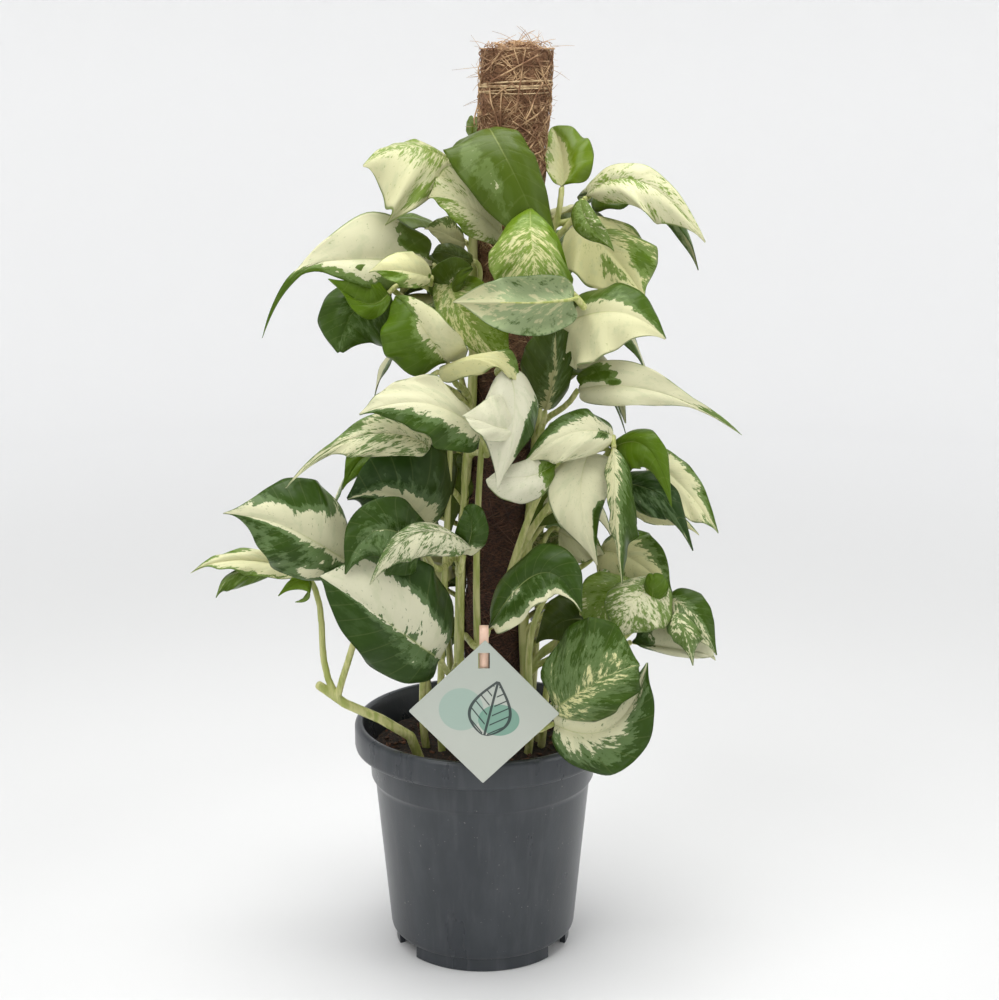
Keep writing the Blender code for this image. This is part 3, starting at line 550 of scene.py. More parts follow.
        (6.5, -7.5, 35), (-0.5, -1.5, -2.5), (0.5, -1.5, -6), (1.5, -0.5, -1.5), (-2.5, -1, -2),
        look=look(0.7, 0.9, 1, 0.95, 0.9, tint=0.3, warm=0.4, patches=[(0.9, 0.8, 0.25, -0.1)])),
    "rim_right_upper": leaf(
        (4.5, -9.5, 19.5), (2.5, -2, 2.5), (5, -2, 4), (1.5, 0, 5.5), (3, -2.5, 0.5),
        look=look(0.05, 0.3, 0.46, 0.42, 0.05, tint=0.28, marble=1, base=0.1, warm=0.9)),
    "rim_right_lower": leaf(
        (4.5, -9.5, 18.5), (3.5, -1.5, 0.5), (5.5, -1.5, 5), (2, -1, 2), (3, -2, -2.5),
        look=look(0.35, 0.65, 0.7, 0.4, 0, tint=0.2, marble=0.6, warm=0.4)),
    "right_low_pointed": leaf(
        (11.5, -6, 25.5), (1.5, -1.5, -0.5), (3, -2, -2.5), (2, -0.5, 0.5), (1, -1.5, -2),
        look=look(0, 0.1, 0.5, 0.5, 0.5, tint=0.3, marble=0.5)),
    "right_low_white": leaf(
        (9.5, -5.5, 22.5), (3, -1.5, 0), (5, -2, 0), (2.5, -0.5, 2), (3, -1.5, -0.5), wide=0.3,
        look=look(0.6, 0.8, 0.9, 1, 0.9, tint=0.2, marble=0.3, base=-0.9, warm=0.3)),
}

# Leaves that only the looks have: small ones between the others, and folded lobes
SMALL_LEAVES = {
    "pole_green": leaf(
        (-0.5, 2.5, 53), (0, 0.5, 1), (0, 1.5, 2), (-0.5, 0.5, 1), (0.5, 1, 1), wide=0.25,
        look=look(0, 0, 0.1, 0, 0, tint=0.5)),
    "high_lobe": leaf(
        (6, -4.5, 50), (0.5, -1, -1.5), (2, -1, -2.5), (1, -1, -1), (-0.5, -0.5, -1.5), wide=0.3,
        look=look(0.4, 0.4, 0.35, 0.3, 0.2, tint=0.6, marble=0.3)),
    "left_round": leaf(
        (-5.5, -6, 44.5), (-1.5, -0.5, -0.5), (-3.5, -1, 1.5), (-1, -0.5, -1.5), (-2, 0, 1.5),
        look=look(0, 0, 0, 0, 0, tint=0.7)),
    "centre_shade": leaf(
        (-2, -4, 44), (0.5, -1, 1.5), (1.5, -1.5, 2.5), (-1, -0.5, 1.5), (1, -1.5, 1),
        look=look(0, 0.1, 0.4, 0, 0, tint=0.35)),
    "narrow_pale": leaf(
        (-2.5, -7.5, 40), (3, -1.5, 1), (5, -1.5, -0.5), (3, -0.5, 1), (2.5, -1.5, 0.5),
        look=look(0.3, 0.7, 0.9, 0.9, 0.7, tint=0.6, warm=0.9)),
    "white_lobe": leaf(
        (2, -10, 37), (-1.5, -1, 0.5), (-3, -1, 1.5), (-1.5, -1, -0.5), (-1, 0, 2),
        look=look(1, 1, 1, 1, 1, warm=0.2)),
    "left_behind": leaf(
        (-5.5, -5, 34), (-1.5, -0.5, 0.5), (-3, -1, -1), (-1, -1, -1), (-1.5, 0, 1.5),
        look=look(0, 0.1, 0.1, 0, 0, tint=0.6)),
    "rolled_edge": leaf(
        (-0.5, -9, 29.5), (-3, -2, 1.5), (-6, -2.5, -1), (-3, -2, 0), (-3, -1.5, 2), wide=0.3,
        look=look(0.5, 0.6, 0.55, 0.5, 0.42, tint=0.3, marble=0.9, warm=0.3)),
    "low_lobe": leaf(
        (-12.5, -7.5, 28), (-2, -1, 0), (-3.5, -1.5, -1), (-2, -1, -1), (-2, -0.5, 0),
        look=look(0.1, 0.2, 0.4, 0.4, 0.3, tint=0.6)),
    "bud": leaf(
        (-10.5, -6.5, 26.5), (-0.5, -0.5, 0.5), (-2, -0.5, 0), (-0.5, -0.5, -1), (-0.5, -0.5, 1),
        look=look(0.2, 0, 0, 0, 0.3, tint=1, marble=0.4)),
    "grey_chip": leaf(
        (6.5, -3, 25), (1, -0.5, 0.5), (2, -1, 1.5), (1, 0, 1.5), (1, -1, -0.5),
        look=look(0.5, 0.6, 0.6, 0.5, 0.4, tint=0.4, marble=0.5, warm=0.2)),
    "bright_top": leaf(
        (10.5, -7.5, 25.5), (0, -0.5, 1.5), (0, 0, 2.5), (-0.5, 0, 1), (1, 0, 1),
        look=look(0, 0, 0.1, 0, 0, tint=0.6)),
    "cream_below": leaf(
        (9.5, -4, 31), (1.5, -1, 0), (4, -1.5, -1), (1.5, -0.5, 0.5), (1, -1, -1),
        look=look(0.4, 0.9, 0.9, 0.9, 0.6, tint=0.3, warm=0.7)),
    "hanging_edge": leaf(
        (8, -8, 35.5), (0, -1.5, -3), (0.5, -1.5, -7.5), (1.5, -1, -4), (-0.5, -1, -2.5),
        look=look(0, 0.1, 0.7, 0.6, 0.5, tint=0.3, marble=0.5, warm=0.6)),
    "grey_fold": leaf(
        (12, -7.5, 25), (0.5, -1, -1), (1, -1, -2.5), (1.5, -0.5, -1), (-0.5, -0.5, -1),
        look=look(0.3, 0.45, 0.45, 0.45, 0.3, tint=0.4)),
    "shade_right": leaf(
        (6, -0.5, 31.5), (-1.5, -0.5, -1), (-3, -1, -2.5), (-0.5, -0.5, -2), (-1.5, 0, 0.5), wide=0.25,
        look=look(0, 0.1, 0.1, 0, 0, tint=0.35)),
    "pale_right": leaf(
        (5, -0.5, 28.5), (1, -0.5, -0.5), (3, -1, -1), (1.5, -0.5, 1), (1, -0.5, -2), wide=0.25,
        look=look(0.3, 0.8, 0.9, 0.8, 0.5, tint=0.4, warm=0.5)),
    "shade_low": leaf(
        (7, -3, 23), (-1.5, -1, 0.5), (-3.5, -1, -0.5), (-1.5, -1, -1.5), (-1.5, 0, 2), wide=0.25,
        look=look(0, 0, 0.05, 0, 0, tint=0.1)),
    "shade_left": leaf(
        (-1.5, 0, 33.5), (-0.5, -0.5, -2), (-0.5, -0.5, -4.5), (1.5, 0, -1.5), (-2, 0, -1.5), wide=0.25,
        look=look(0, 0.05, 0.1, 0, 0, tint=0.15)),
    "cream_chip": leaf(
        (-1, 0, 47), (-1, -1, 0.5), (-2.5, -1.5, 1.5), (-1, -1, -0.5), (-1, 0, 1.5), wide=0.25,
        look=look(0.9, 0.9, 0.9, 0.5, 0.4, tint=0.3, warm=0.7)),
    "dark_chip": leaf(
        (-0.5, -1.5, 46), (-1.5, -1, 0.5), (-2.5, -1.5, 1), (-1.5, -1, -0.5), (-1, 0, 1), wide=0.25,
        look=look(0, 0, 0.1, 0.3, 0.2, tint=0.2)),
}

STALKLESS = ("high_lobe", "white_lobe", "low_lobe", "grey_fold", "cream_below", "bud", "rolled_edge")

SIDE_LOOKS = (
    look(0.2, 0.8, 0.95, 0.6, 0, tint=0.3, marble=0.2, warm=0.5),
    look(0, 0, 0.3, 0.1, 0, tint=0.35),
    look(0.6, 0.9, 0.8, 0.4, 0.1, tint=0.5, marble=0.5, warm=0.8),
    look(0, 0.4, 0.9, 1, 0.7, tint=0.2, warm=0.4),
    look(0.4, 0.45, 0.6, 0.5, 0.3, tint=0.7, marble=0.8, warm=0.9),
)


def hanging_leaf(centre, heading, size, height, reach, choice):
    """A leaf that leans out from the pole and hangs down."""
    out = np.array((math.cos(heading), math.sin(heading), 0))
    side = np.array((-math.sin(heading), math.cos(heading), 0))
    return leaf(
        np.array((*centre, height)) + reach * out,
        0.5 * size * out + (0, 0, 0.5 - 0.12 * size),
        0.85 * size * out - (0, 0, 0.55 * size),
        0.42 * size * side + 0.15 * size * out,
        -0.42 * size * side + 0.15 * size * out,
        wide=0.2,
        look=SIDE_LOOKS[choice % len(SIDE_LOOKS)],
    )


def back_leaves():
    """The leaves behind the pole, spread by rule, as in the frame."""
    found = {}
    for i in range(9):
        heading = math.radians(10 + 62 * i % 160)
        size = 8.2 + 1.3 * math.sin(2.1 * i)
        reach = 4.8 + 1.4 * math.cos(1.3 * i)
        found[f"back_{i + 1}"] = hanging_leaf((1.0, 0.6), heading, size, 50 - 3.6 * i, reach, i)
    return found


def inner_leaves():
    """Smaller leaves nearer the pole at the sides and back, which close the gaps there."""
    found = {}
    for i in range(10):
        heading = math.radians(25 + 97 * i % 130)
        size = 5.6 + 0.9 * math.sin(1.7 * i)
        reach = 3.4 + 0.8 * math.cos(2.3 * i)
        found[f"inner_{i + 1}"] = hanging_leaf((1.0, 0.6), heading, size, 48.5 - 3.1 * i, reach, i + 2)
    for i in range(14):
        heading = math.radians((0 if i % 2 else 176) + 16 * math.sin(1.9 * i))
        size = 5.8 + 0.8 * math.sin(2.7 * i)
        reach = 3.6 + 0.7 * math.cos(1.9 * i)
        found[f"side_{i + 1}"] = hanging_leaf((1.0, 1.6), heading, size, 48 - 1.9 * i, reach, 3 * i + 1)
    return found


def creaminess(given, across, station):
    """How cream each point of a blade is, from its look."""
    value = np.interp(across, (-1, -0.5, 0, 0.5, 1), given["bands"][::-1])
    value = value + given["base"] * np.clip(1 - station / 0.35, 0, 1)
    value = value + given["tip"] * np.clip((station - 0.6) / 0.3, 0, 1)
    for where, along, size, target in given["patches"]:
        far = ((across - where) / size) ** 2 + ((station - along) / (0.6 * size)) ** 2
        near = np.exp(-(far**1.2))
        value = value + (target - value) * near
    return np.clip(value, -0.2, 1.2)


def blade_surface(name, under):
    """The variegated skin of a blade, jagged along its veins."""
    surface = Surface(name, Specular_IOR_Level=0.16)
    uv = surface.uv()
    across = uv.part(0) * 2.0 - 1.0
    station = uv.part(1)
    cream = surface.attribute("cream")
    tint = surface.attribute("tint")
    marble = surface.attribute("marble")
    warm = surface.attribute("warm")
    seed = surface.attribute("seed")
    # inner carries painted shade: the blades darken near the pole
    inner = surface.attribute("inner")
    side = across.math("SIGN") * 7.0
    place = uv.combined(abs(across), station, seed + side)
    broad = place.scaled((1.8, 6.0, 1.0)).noise(1.0, 2.0, 0.5)
    jagged = place.scaled((4.5, 22.0, 1.0)).noise(1.0, 4.0, 0.6)
    speck = place.scaled((7.0, 46.0, 1.0)).noise(1.0, 5.0, 0.7)
    value = cream + (broad - 0.5) * 0.6 + (jagged - 0.5) * 0.8 + (speck - 0.5) * marble * 1.2
    soft = marble * 0.07 + 0.012
    is_cream = ((value - 0.5) / soft).step(-1.0, 1.0)
    is_grey = ((value + marble * 0.1 - 0.32) / soft).step(-1.0, 1.0)
    is_light = value.step(0.22, 0.24)
    freckle = place.scaled((14.0, 60.0, 1.0)).noise(1.0, 2.0, 0.5)
    freckled = freckle.step(0.67, 0.71) * (cream * -1.0 + 1.35).at_most(1.0)
    cloud = place.scaled((3.0, 10.0, 1.0)).noise(1.0, 3.0, 0.6)
    if under:
        dark = surface.colour(0.07, 0.12, 0.04).blend(tint, surface.colour(0.15, 0.23, 0.04))
        grey = surface.colour(0.3, 0.37, 0.19)
        pale = surface.colour(0.52, 0.53, 0.38).blend(warm, surface.colour(0.54, 0.52, 0.22))
    else:
        dark = surface.colour(0.008, 0.027, 0.005).blend(tint, surface.colour(0.105, 0.188, 0.003))
        grey = surface.colour(0.075, 0.125, 0.055).blend(tint, surface.colour(0.2, 0.29, 0.05))
        pale = surface.colour(0.62, 0.61, 0.47).blend(warm, surface.colour(0.62, 0.6, 0.28))
    green = dark.blend(is_light * 0.4 + cloud.step(0.46, 0.62) * 0.16, grey)
    colour = green.blend(is_grey, grey)
    shade = pale.blend(cloud.step(0.5, 0.66) * 0.3, surface.colour(0.42, 0.47, 0.27))
    colour = colour.blend(is_cream, shade.blend(freckled * 0.8, grey))
    margin = abs(across).step(0.955, 0.985) * (broad + station * 0.1).step(0.46, 0.56)
    colour = colour.blend(margin * is_cream * 0.8, grey.blend(0.4, dark))
    rib = abs(across).step(0.03, 0.01) * station.step(1.0, 0.2)
    colour = colour.blend(rib * 0.4, surface.colour(0.45, 0.5, 0.18))
    veins = (station + abs(across) * 0.05).wave(5.5)
    colour = colour.blend(abs(veins).step(0.2, 0.0) * 0.05, surface.colour(0.5, 0.54, 0.22))
    fine = place.scaled((60.0, 130.0, 1.0)).noise(1.0, 2.0, 0.5)
    height = abs(veins) ** 0.6 * 0.5 + rib * (2.0 if under else -0.9) + fine * 0.15 + cloud * 0.8
    # Painted shade: the blades blend towards dark olive by their inner attribute, nearer the pole
    colour = colour.blend(inner * 0.34, surface.colour(0.1, 0.11, 0.01))
    surface.set(Base_Color=colour, Roughness=is_cream * 0.1 + (0.6 if under else 0.32))
    return surface.bump(height, 0.5 * MM, 0.45)


def blade_mesh(name, spec, seed, shift):
    """A thin blade with the attributes its skin reads, and the rib under it."""
    shape = bmesh.new()
    bmesh.ops.create_grid(shape, x_segments=BLADE_ACROSS, y_segments=BLADE_ALONG, size=0.5)
    bmesh.ops.reverse_faces(shape, faces=shape.faces)
    places = np.array([vertex.co[:] for vertex in shape.verts])
    across = np.round(2 * places[:, 0] * 1e6) / 1e6
    station = np.clip(places[:, 1] + 0.5, 0, 1)
    points = blade_points(spec, across, station, 1.0, seed) + shift
    given = spec["look"]
    cream = creaminess(given, across, station)
    # inner is painted shade: 1 within 4.5 cm of an upright line 1 cm right of the pot's axis, near the pole,
    # falling to 0 at 9.5 cm
    inner = np.clip((9.5 - np.hypot(points[:, 0] - 1, points[:, 1])) / 5, 0, 1)
    uv = shape.loops.layers.uv.new("blade")
    values = {"cream": cream, "inner": inner, "seed": np.full(len(across), seed)}
    values.update({key: np.full(len(across), given[key]) for key in ("tint", "marble", "warm")})
    layers = {key: shape.verts.layers.float.new(key) for key in values}
    for i, vertex in enumerate(shape.verts):
        for key, layer in layers.items():
            vertex[layer] = values[key][i]
        for loop in vertex.link_loops:
            loop[uv].uv = (across[i] / 2 + 0.5, station[i])
    for vertex, point in zip(shape.verts, points):
        vertex.co = Vector(point) * CM
    mesh = mesh_of(name, shape, 180)
    thick = {"thickness": BLADE_THICKNESS, "offset": 0.0, "material_offset": 1, "material_offset_rim": 0}
    mesh.materials.append(None)
    mesh.materials.append(None)
    mesh.materials.append(None)
    mesh = with_modifiers(mesh, ("SOLIDIFY", thick))
    shape = bmesh.new()
    shape.from_mesh(mesh)
    along = np.linspace(0.0, 0.8, 12)
    rib = blade_points(spec, np.zeros(12), along, 1.0, seed) + shift
    lower = blade_points(spec, np.full(12, 0.12), along) - blade_points(spec, np.full(12, -0.12), along)
    ahead = np.gradient(rib, axis=0)
    down = -unit(np.cross(ahead, lower))
    widths = 1.3 - 1.3 * along
    rib = [Vector(point) * CM for point in rib + down * (0.1 * widths[:, None] + 0.01)]
    add_tube(shape, rib, [(0.15 + width) * MM for width in map(float, widths)], 1, 2)
    bpy.data.meshes.remove(mesh)
    return mesh_of(name, shape)


# ---------------------------------------------------------------- stems


def climbing_path(azimuth, top):
    """From the soil up along the pole, at one side of it, swaying a little."""
    clear = SLEEVE_RADIUS + STEM_RADIUS + 1.0 * MM
    path = []
    for height in map(float, np.linspace(SOIL_TOP - 20 * MM, top, 12)):
        low = max(0.0, 1 - (height - SOIL_TOP + 20 * MM) / (9 * CM))
        angle = math.radians(azimuth + 14 * math.sin(height / (5 * CM)))
        reach = clear + 1.6 * CM * low * low
        path.append(around(pole_axis(height), reach, angle))
    return path


STEMS = {
    "vine_left": climbing_path(205, 52 * CM),
    "vine_right": climbing_path(-28, 49 * CM),
    "vine_back": climbing_path(88, 51 * CM),
}


def on_stem(path, height):
    """The point of a stem at a height."""
    for low, high in zip(path, path[1:]):
        if low.z <= height <= high.z:
            return low.lerp(high, (height - low.z) / (high.z - low.z))
    return path[0] if height < path[0].z else path[-1]


def bezier(points, count):
    a, b, c, d = points
    found = []
    for t in map(float, np.linspace(0, 1, count)):
        s = 1 - t
        found.append(a * s**3 + b * 3 * s * s * t + c * 3 * s * t * t + d * t**3)
    return found


def stalk_points(spec, shift, drop):
    """A plain stalk from the nearest stem to a leaf."""
    base = Vector(spec["base"] + shift) * CM
    heading = Vector(midrib(spec, 0.02)[1]).normalized()
    if base.y > 1.0 * CM:
        stem = "vine_back"
    else:
        stem = "vine_left" if base.x < 1.2 * CM else "vine_right"
    start = on_stem(STEMS[stem], max(base.z - drop * CM, SOIL_TOP))
    reach = (base - start).length
    out = Vector((base.x - start.x, base.y - start.y, 0)).normalized()
    leave = (out * 0.5 + Vector((0, 0, 0.9))) * reach * 0.4
    return bezier((start, start + leave, base - heading * reach * 0.3, base), 14)


def stem_surface():
    surface = Surface("stem_skin", 0.42, Specular_IOR_Level=0.35)
    place = surface.here()
    streak = place.scaled((260.0, 260.0, 22.0)).noise(1.0, 3.0, 0.6)
    patch = place.noise(28.0, 2.0, 0.5)
    green = surface.colour(0.34, 0.38, 0.1)
    pale = surface.colour(0.56, 0.55, 0.24)
    colour = green.blend(streak.step(0.38, 0.62), pale)
    colour = colour.blend(patch.step(0.52, 0.7) * 0.5, surface.colour(0.24, 0.3, 0.07))
    surface.set(Base_Color=colour)
    return surface.bump(streak, 0.3 * MM, 0.5)


def make_stems(skin):
    """The frame's stems, rounded and smoothed."""
    for name in ("vine_left", "vine_right", "vine_back", "vine_creeping"):
        shape = bmesh.new()
        shape.from_mesh(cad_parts[name].data)
        bmesh.ops.remove_doubles(shape, verts=shape.verts, dist=0.01 * MM)
        mesh = mesh_of(name, shape)
        fine = {"mode": "VOXEL", "voxel_size": 0.75 * MM, "use_smooth_shade": True}
        soft = {"factor": 0.6, "iterations": 14}
        wider = {"strength": 0.7 * MM, "mid_level": 0.0}
        mesh = with_modifiers(mesh, ("REMESH", fine), ("SMOOTH", soft), ("DISPLACE", wider))
        piece(name + "_smooth", mesh, skin, replaces=(name,), slot="vine_stem")


SHOOTS = (
    ((-2.6, -2.4, 13.5), (-2.9, -3.6, 19), (-2.2, -5.6, 26), (-1.8, -6.4, 37)),
    ((-1.6, -2.6, 13.5), (-1.2, -4.4, 20), (-1.5, -5.4, 27), (-0.8, -6.4, 36)),
    ((-3.6, -1.6, 13.5), (-4.4, -3.2, 18), (-3.0, -4.6, 24), (-3.6, -5.6, 30)),
    ((0.4, -3.0, 13.5), (-0.4, -4.4, 20), (-0.6, -5.0, 28), (0.2, -6.2, 37)),
    ((2.9, -2.6, 13.5), (3.8, -4.2, 18), (1.8, -4.6, 22), (4.4, -5.4, 26)),
    ((3.8, -1.4, 13.5), (4.4, -3.0, 17), (3.4, -3.4, 20), (6.6, -3.4, 25)),
    ((1.4, -2.8, 25), (2.4, -3.6, 28), (2.8, -4.4, 31), (5.0, -5.8, 34.5)),
    ((2.2, -2.2, 27), (3.2, -3.2, 29.5), (4.4, -3.8, 31.5), (7.0, -4.8, 34)),
    ((3.0, 2.8, 13.5), (4.0, 4.2, 19), (3.6, 4.6, 25), (4.2, 4.4, 31)),
    ((-1.6, 3.4, 13.5), (-2.6, 4.4, 19), (-2.8, 4.8, 25), (-2.2, 4.4, 30)),
    ((-3.2, 1.4, 13.5), (-4.2, 2.2, 19), (-4.0, 2.6, 24), (-4.6, 2.4, 29)),
)


def make_shoots(skin):
    """Leaf stalks that rise straight from the soil."""
    shape = bmesh.new()
    for knots in SHOOTS:
        points = bezier([Vector(knot) * CM for knot in knots], 24)
        add_tube(shape, points, [2.7 * MM * (1 - 0.015 * i) for i in range(24)], 3)
    piece("soil_shoots", mesh_of("soil_shoots", shape), skin, slot="vine_stem")


# ---------------------------------------------------------------- leaves


def make_leaves(skin):
    upper = blade_surface("blade_upper", False)
    lower = blade_surface("blade_under", True)
    for i, (name, spec) in enumerate({**LEAVES, **back_leaves()}.items()):
        node = "leaf_" + name
        low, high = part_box(node)
        grid = np.meshgrid(np.linspace(-1, 1, 5), np.linspace(0, 1, 8))
        coarse = blade_points(spec, grid[0].ravel(), grid[1].ravel())
        shift = np.array((low + high) / 2) / CM - (coarse.min(0) + coarse.max(0)) / 2
        mesh = blade_mesh(node + "_skin", spec, 1.7 * i, shift)
        piece(node + "_skin", mesh, upper, lower, skin, replaces=(node,), slot="leaf")
    stalks = bmesh.new()
    for i, (name, spec) in enumerate({**SMALL_LEAVES, **inner_leaves()}.items()):
        mesh = blade_mesh("leaf_" + name, spec, 90 + 1.9 * i, np.zeros(3))
        piece("leaf_" + name, mesh, upper, lower, skin, slot="leaf")
        if name not in STALKLESS:
            points = stalk_points(spec, np.zeros(3), 4)
            add_tube(stalks, points, [STALK_RADIUS * (1.1 - 0.02 * k) for k in range(14)], 2)
    piece("small_leaf_stalks", mesh_of("small_leaf_stalks", stalks), skin, slot="vine_stem")


# ---------------------------------------------------------------- pot and soil


def make_pot():
    outer = [
        (RIM_RADIUS - 3.2 * MM, POT_HEIGHT),
        (RIM_RADIUS - 1.6 * MM, POT_HEIGHT - 0.4 * MM),
        (RIM_RADIUS - 0.5 * MM, POT_HEIGHT - 1.5 * MM),
        (RIM_RADIUS, POT_HEIGHT - 3.2 * MM),
        (RIM_RADIUS, POT_HEIGHT - RIM_HEIGHT + 3 * MM),
        (RIM_RADIUS - 0.5 * MM, POT_HEIGHT - RIM_HEIGHT + 1 * MM),
        (RIM_RADIUS - 1.8 * MM, POT_HEIGHT - RIM_HEIGHT),
        (COLLAR_RADIUS + 2 * MM, POT_HEIGHT - RIM_HEIGHT + 0.5 * MM),
        (COLLAR_RADIUS + 0.8 * MM, POT_HEIGHT - RIM_HEIGHT - 0.6 * MM),
        (COLLAR_RADIUS + 0.4 * MM, POT_HEIGHT - RIM_HEIGHT - 3 * MM),
        (COLLAR_RADIUS - 0.6 * MM, 118.5 * MM),
        (COLLAR_RADIUS - 1.2 * MM, 117.2 * MM),
        (WALL_TOP_RADIUS + 0.7 * MM, 115.5 * MM),
        (WALL_TOP_RADIUS + 0.1 * MM, 113 * MM),
        (WALL_FOOT_RADIUS + 0.2 * MM, FOOT_HEIGHT + 3 * MM),
        (WALL_FOOT_RADIUS - 0.3 * MM, FOOT_HEIGHT + 1 * MM),
        (WALL_FOOT_RADIUS - 1.2 * MM, FOOT_HEIGHT),
        (FOOT_RADIUS, FOOT_HEIGHT),
        (FOOT_RADIUS, 0.6 * MM),
        (FOOT_RADIUS - 0.6 * MM, 0.0),
    ]
    inner = [
        (FOOT_RADIUS - 2 * WALL, 0.0),
        (FOOT_RADIUS - 2 * WALL, FOOT_HEIGHT),
        (PAD_RADIUS + 2 * MM, FOOT_HEIGHT),
        (PAD_RADIUS, FOOT_HEIGHT - 2 * MM),
        (PAD_RADIUS, 0.0),
        (0.0, 0.0),
        (0.0, FOOT_HEIGHT + WALL),
        (WALL_FOOT_RADIUS - WALL - 1 * MM, FOOT_HEIGHT + WALL),
        (WALL_TOP_RADIUS - WALL, 112 * MM),
        (COLLAR_RADIUS - WALL - 0.6 * MM, 120 * MM),
        (COLLAR_RADIUS - WALL, POT_HEIGHT - RIM_HEIGHT),
        (RIM_RADIUS - 6 * MM, POT_HEIGHT - 6 * MM),
        (RIM_RADIUS - 5.8 * MM, POT_HEIGHT - 1.5 * MM),
        (RIM_RADIUS - 5.0 * MM, POT_HEIGHT - 0.4 * MM),
    ]
    mesh = turned("pot_shell", outer + inner, POT_STEPS)
    cutters = bmesh.new()
    for i in range(SLOT_COUNT):
        size = (24 * MM, SLOT_WIDTH, FOOT_HEIGHT - 1 * MM)
        place = Vector((FOOT_RADIUS - 2 * MM, 0, size[2] / 2 - 0.5 * MM))
        turn = Matrix.Rotation(math.radians(-30 + 120 * i), 4, "Z")
        made = bmesh.ops.create_cube(cutters, size=1.0)["verts"]
        for vertex in made:
            vertex.co = turn @ (Vector(a * b for a, b in zip(vertex.co, size)) + place)
    cutter = bpy.data.objects.new("slot_cutter", mesh_of("slot_cutter", cutters))
    bpy.context.scene.collection.objects.link(cutter)
    mesh = with_modifiers(mesh, ("BOOLEAN", {"operation": "DIFFERENCE", "solver": "EXACT", "object": cutter}))
    bpy.data.objects.remove(cutter)
    mesh.set_sharp_from_angle(angle=math.radians(40))
    surface = Surface("pot_plastic", Specular_IOR_Level=0.5)
    place = surface.here()
    dust = place.noise(520.0, 2.0, 0.5).step(0.7, 0.74) * place.noise(40.0).step(0.5, 0.6)
    smear = place.scaled((1.0, 1.0, 0.35)).noise(38.0, 4.0, 0.6)
    streak = place.scaled((1.0, 1.0, 0.07)).noise(150.0, 3.0, 0.6)
    colour = surface.colour(0.026, 0.031, 0.037).blend(
        smear.step(0.4, 0.7) * 0.6, surface.colour(0.054, 0.06, 0.067))
    colour = colour.blend(streak.step(0.5, 0.75) * 0.35, surface.colour(0.075, 0.08, 0.085))
    colour = colour.blend(dust * 0.6, surface.colour(0.26, 0.25, 0.23))
    surface.set(Base_Color=colour, Roughness=smear * 0.3 + 0.16)
    grain = place.noise(700.0, 2.0, 0.5) + place.scaled((1.0, 1.0, 0.0)).noise(60.0) * 0.6
    surface.bump(grain, 0.1 * MM, 0.5)
    piece("pot_shell", mesh, surface, replaces=("nursery_pot",), slot="nursery_pot")


def make_soil():
    """Loose bark soil: a lumpy bed and scattered chips."""
    shape = bmesh.new()
    profile = [
        (0.0, SOIL_TOP + 3 * MM),
        (SOIL_RADIUS * 0.5, SOIL_TOP + 2 * MM),
        (SOIL_RADIUS * 0.85, SOIL_TOP),
        (SOIL_RADIUS - 1.2 * MM, SOIL_TOP - 3 * MM),
        (SOIL_RADIUS - 2 * MM, 122 * MM),
        (0.0, 122 * MM),
    ]
    verts = [shape.verts.new((radius, 0, height)) for radius, height in profile]
    edges = [shape.edges.new(pair) for pair in zip(verts, verts[1:])]
    bmesh.ops.subdivide_edges(shape, edges=edges[:3], cuts=14)
    bmesh.ops.spin(shape, geom=shape.verts[:] + shape.edges[:], cent=(0, 0, 0), axis=(0, 0, 1),
                   angle=2 * math.pi, steps=110, use_merge=True)
    bmesh.ops.remove_doubles(shape, verts=shape.verts, dist=0.01 * MM)
    bmesh.ops.recalc_face_normals(shape, faces=shape.faces)
    for vertex in shape.verts:
        if vertex.co.z > 130 * MM:
            lump = noise.noise(vertex.co * 120) * 1.8 + noise.noise(vertex.co * 320) * 1.2
            vertex.co.z += lump * MM
    bed = mesh_of("soil_bed", shape, 180)
    surface = Surface("soil", 0.95)
    place = surface.here()
    grain = place.noise(420.0, 4.0, 0.7)
    colour = surface.colour(0.012, 0.008, 0.005).blend(
        grain.step(0.45, 0.7), surface.colour(0.07, 0.036, 0.02))
    surface.set(Base_Color=colour).bump(grain, 1.2 * MM, 1.0)
    piece("soil_bed", bed, surface, replaces=("potting_soil",), slot="potting_soil")
    rand = random.Random(5)
    chips = bmesh.new()
    for _ in range(520):
        angle, reach = rand.uniform(0, 2 * math.pi), math.sqrt(rand.uniform(0.02, 1)) * (SOIL_RADIUS - 6 * MM)
        spot = around(Vector((0, 0, SOIL_TOP + rand.uniform(-0.5, 2.6) * MM)), reach, angle)
        long = rand.uniform(1.5, 5.5) * MM
        made = bmesh.ops.create_cube(chips, size=1.0)["verts"]
        bend = Matrix.Rotation(rand.uniform(0, 6.3), 3, "Z")
        bend = bend @ Matrix.Rotation(rand.uniform(-0.5, 0.5), 3, "X")
        for vertex in made:
            shrink = rand.uniform(0.5, 1.0)
            size = (long, long * 0.5 * shrink, 1.2 * MM)
            vertex.co = bend @ Vector(a * b for a, b in zip(vertex.co, size)) + spot
    bmesh.ops.recalc_face_normals(chips, faces=chips.faces)
    bark = Surface("bark_chips", 0.9)
    place = bark.here()
    tone = place.noise(180.0, 2.0, 0.6)
    colour = bark.colour(0.035, 0.018, 0.01).blend(tone.step(0.4, 0.62), bark.colour(0.14, 0.06, 0.03))
    bark.set(Base_Color=colour).bump(place.noise(900.0, 3.0), 0.4 * MM, 0.8)
    piece("bark_chips", mesh_of("bark_chips", chips), bark, slot="potting_soil")


# ---------------------------------------------------------------- coir pole


def pole_girth(height):
    """The coir stands out further near the pole's top."""
    return 20.2 * MM + 1.2 * MM * min(max((height - 0.525) / 0.02, 0), 1)


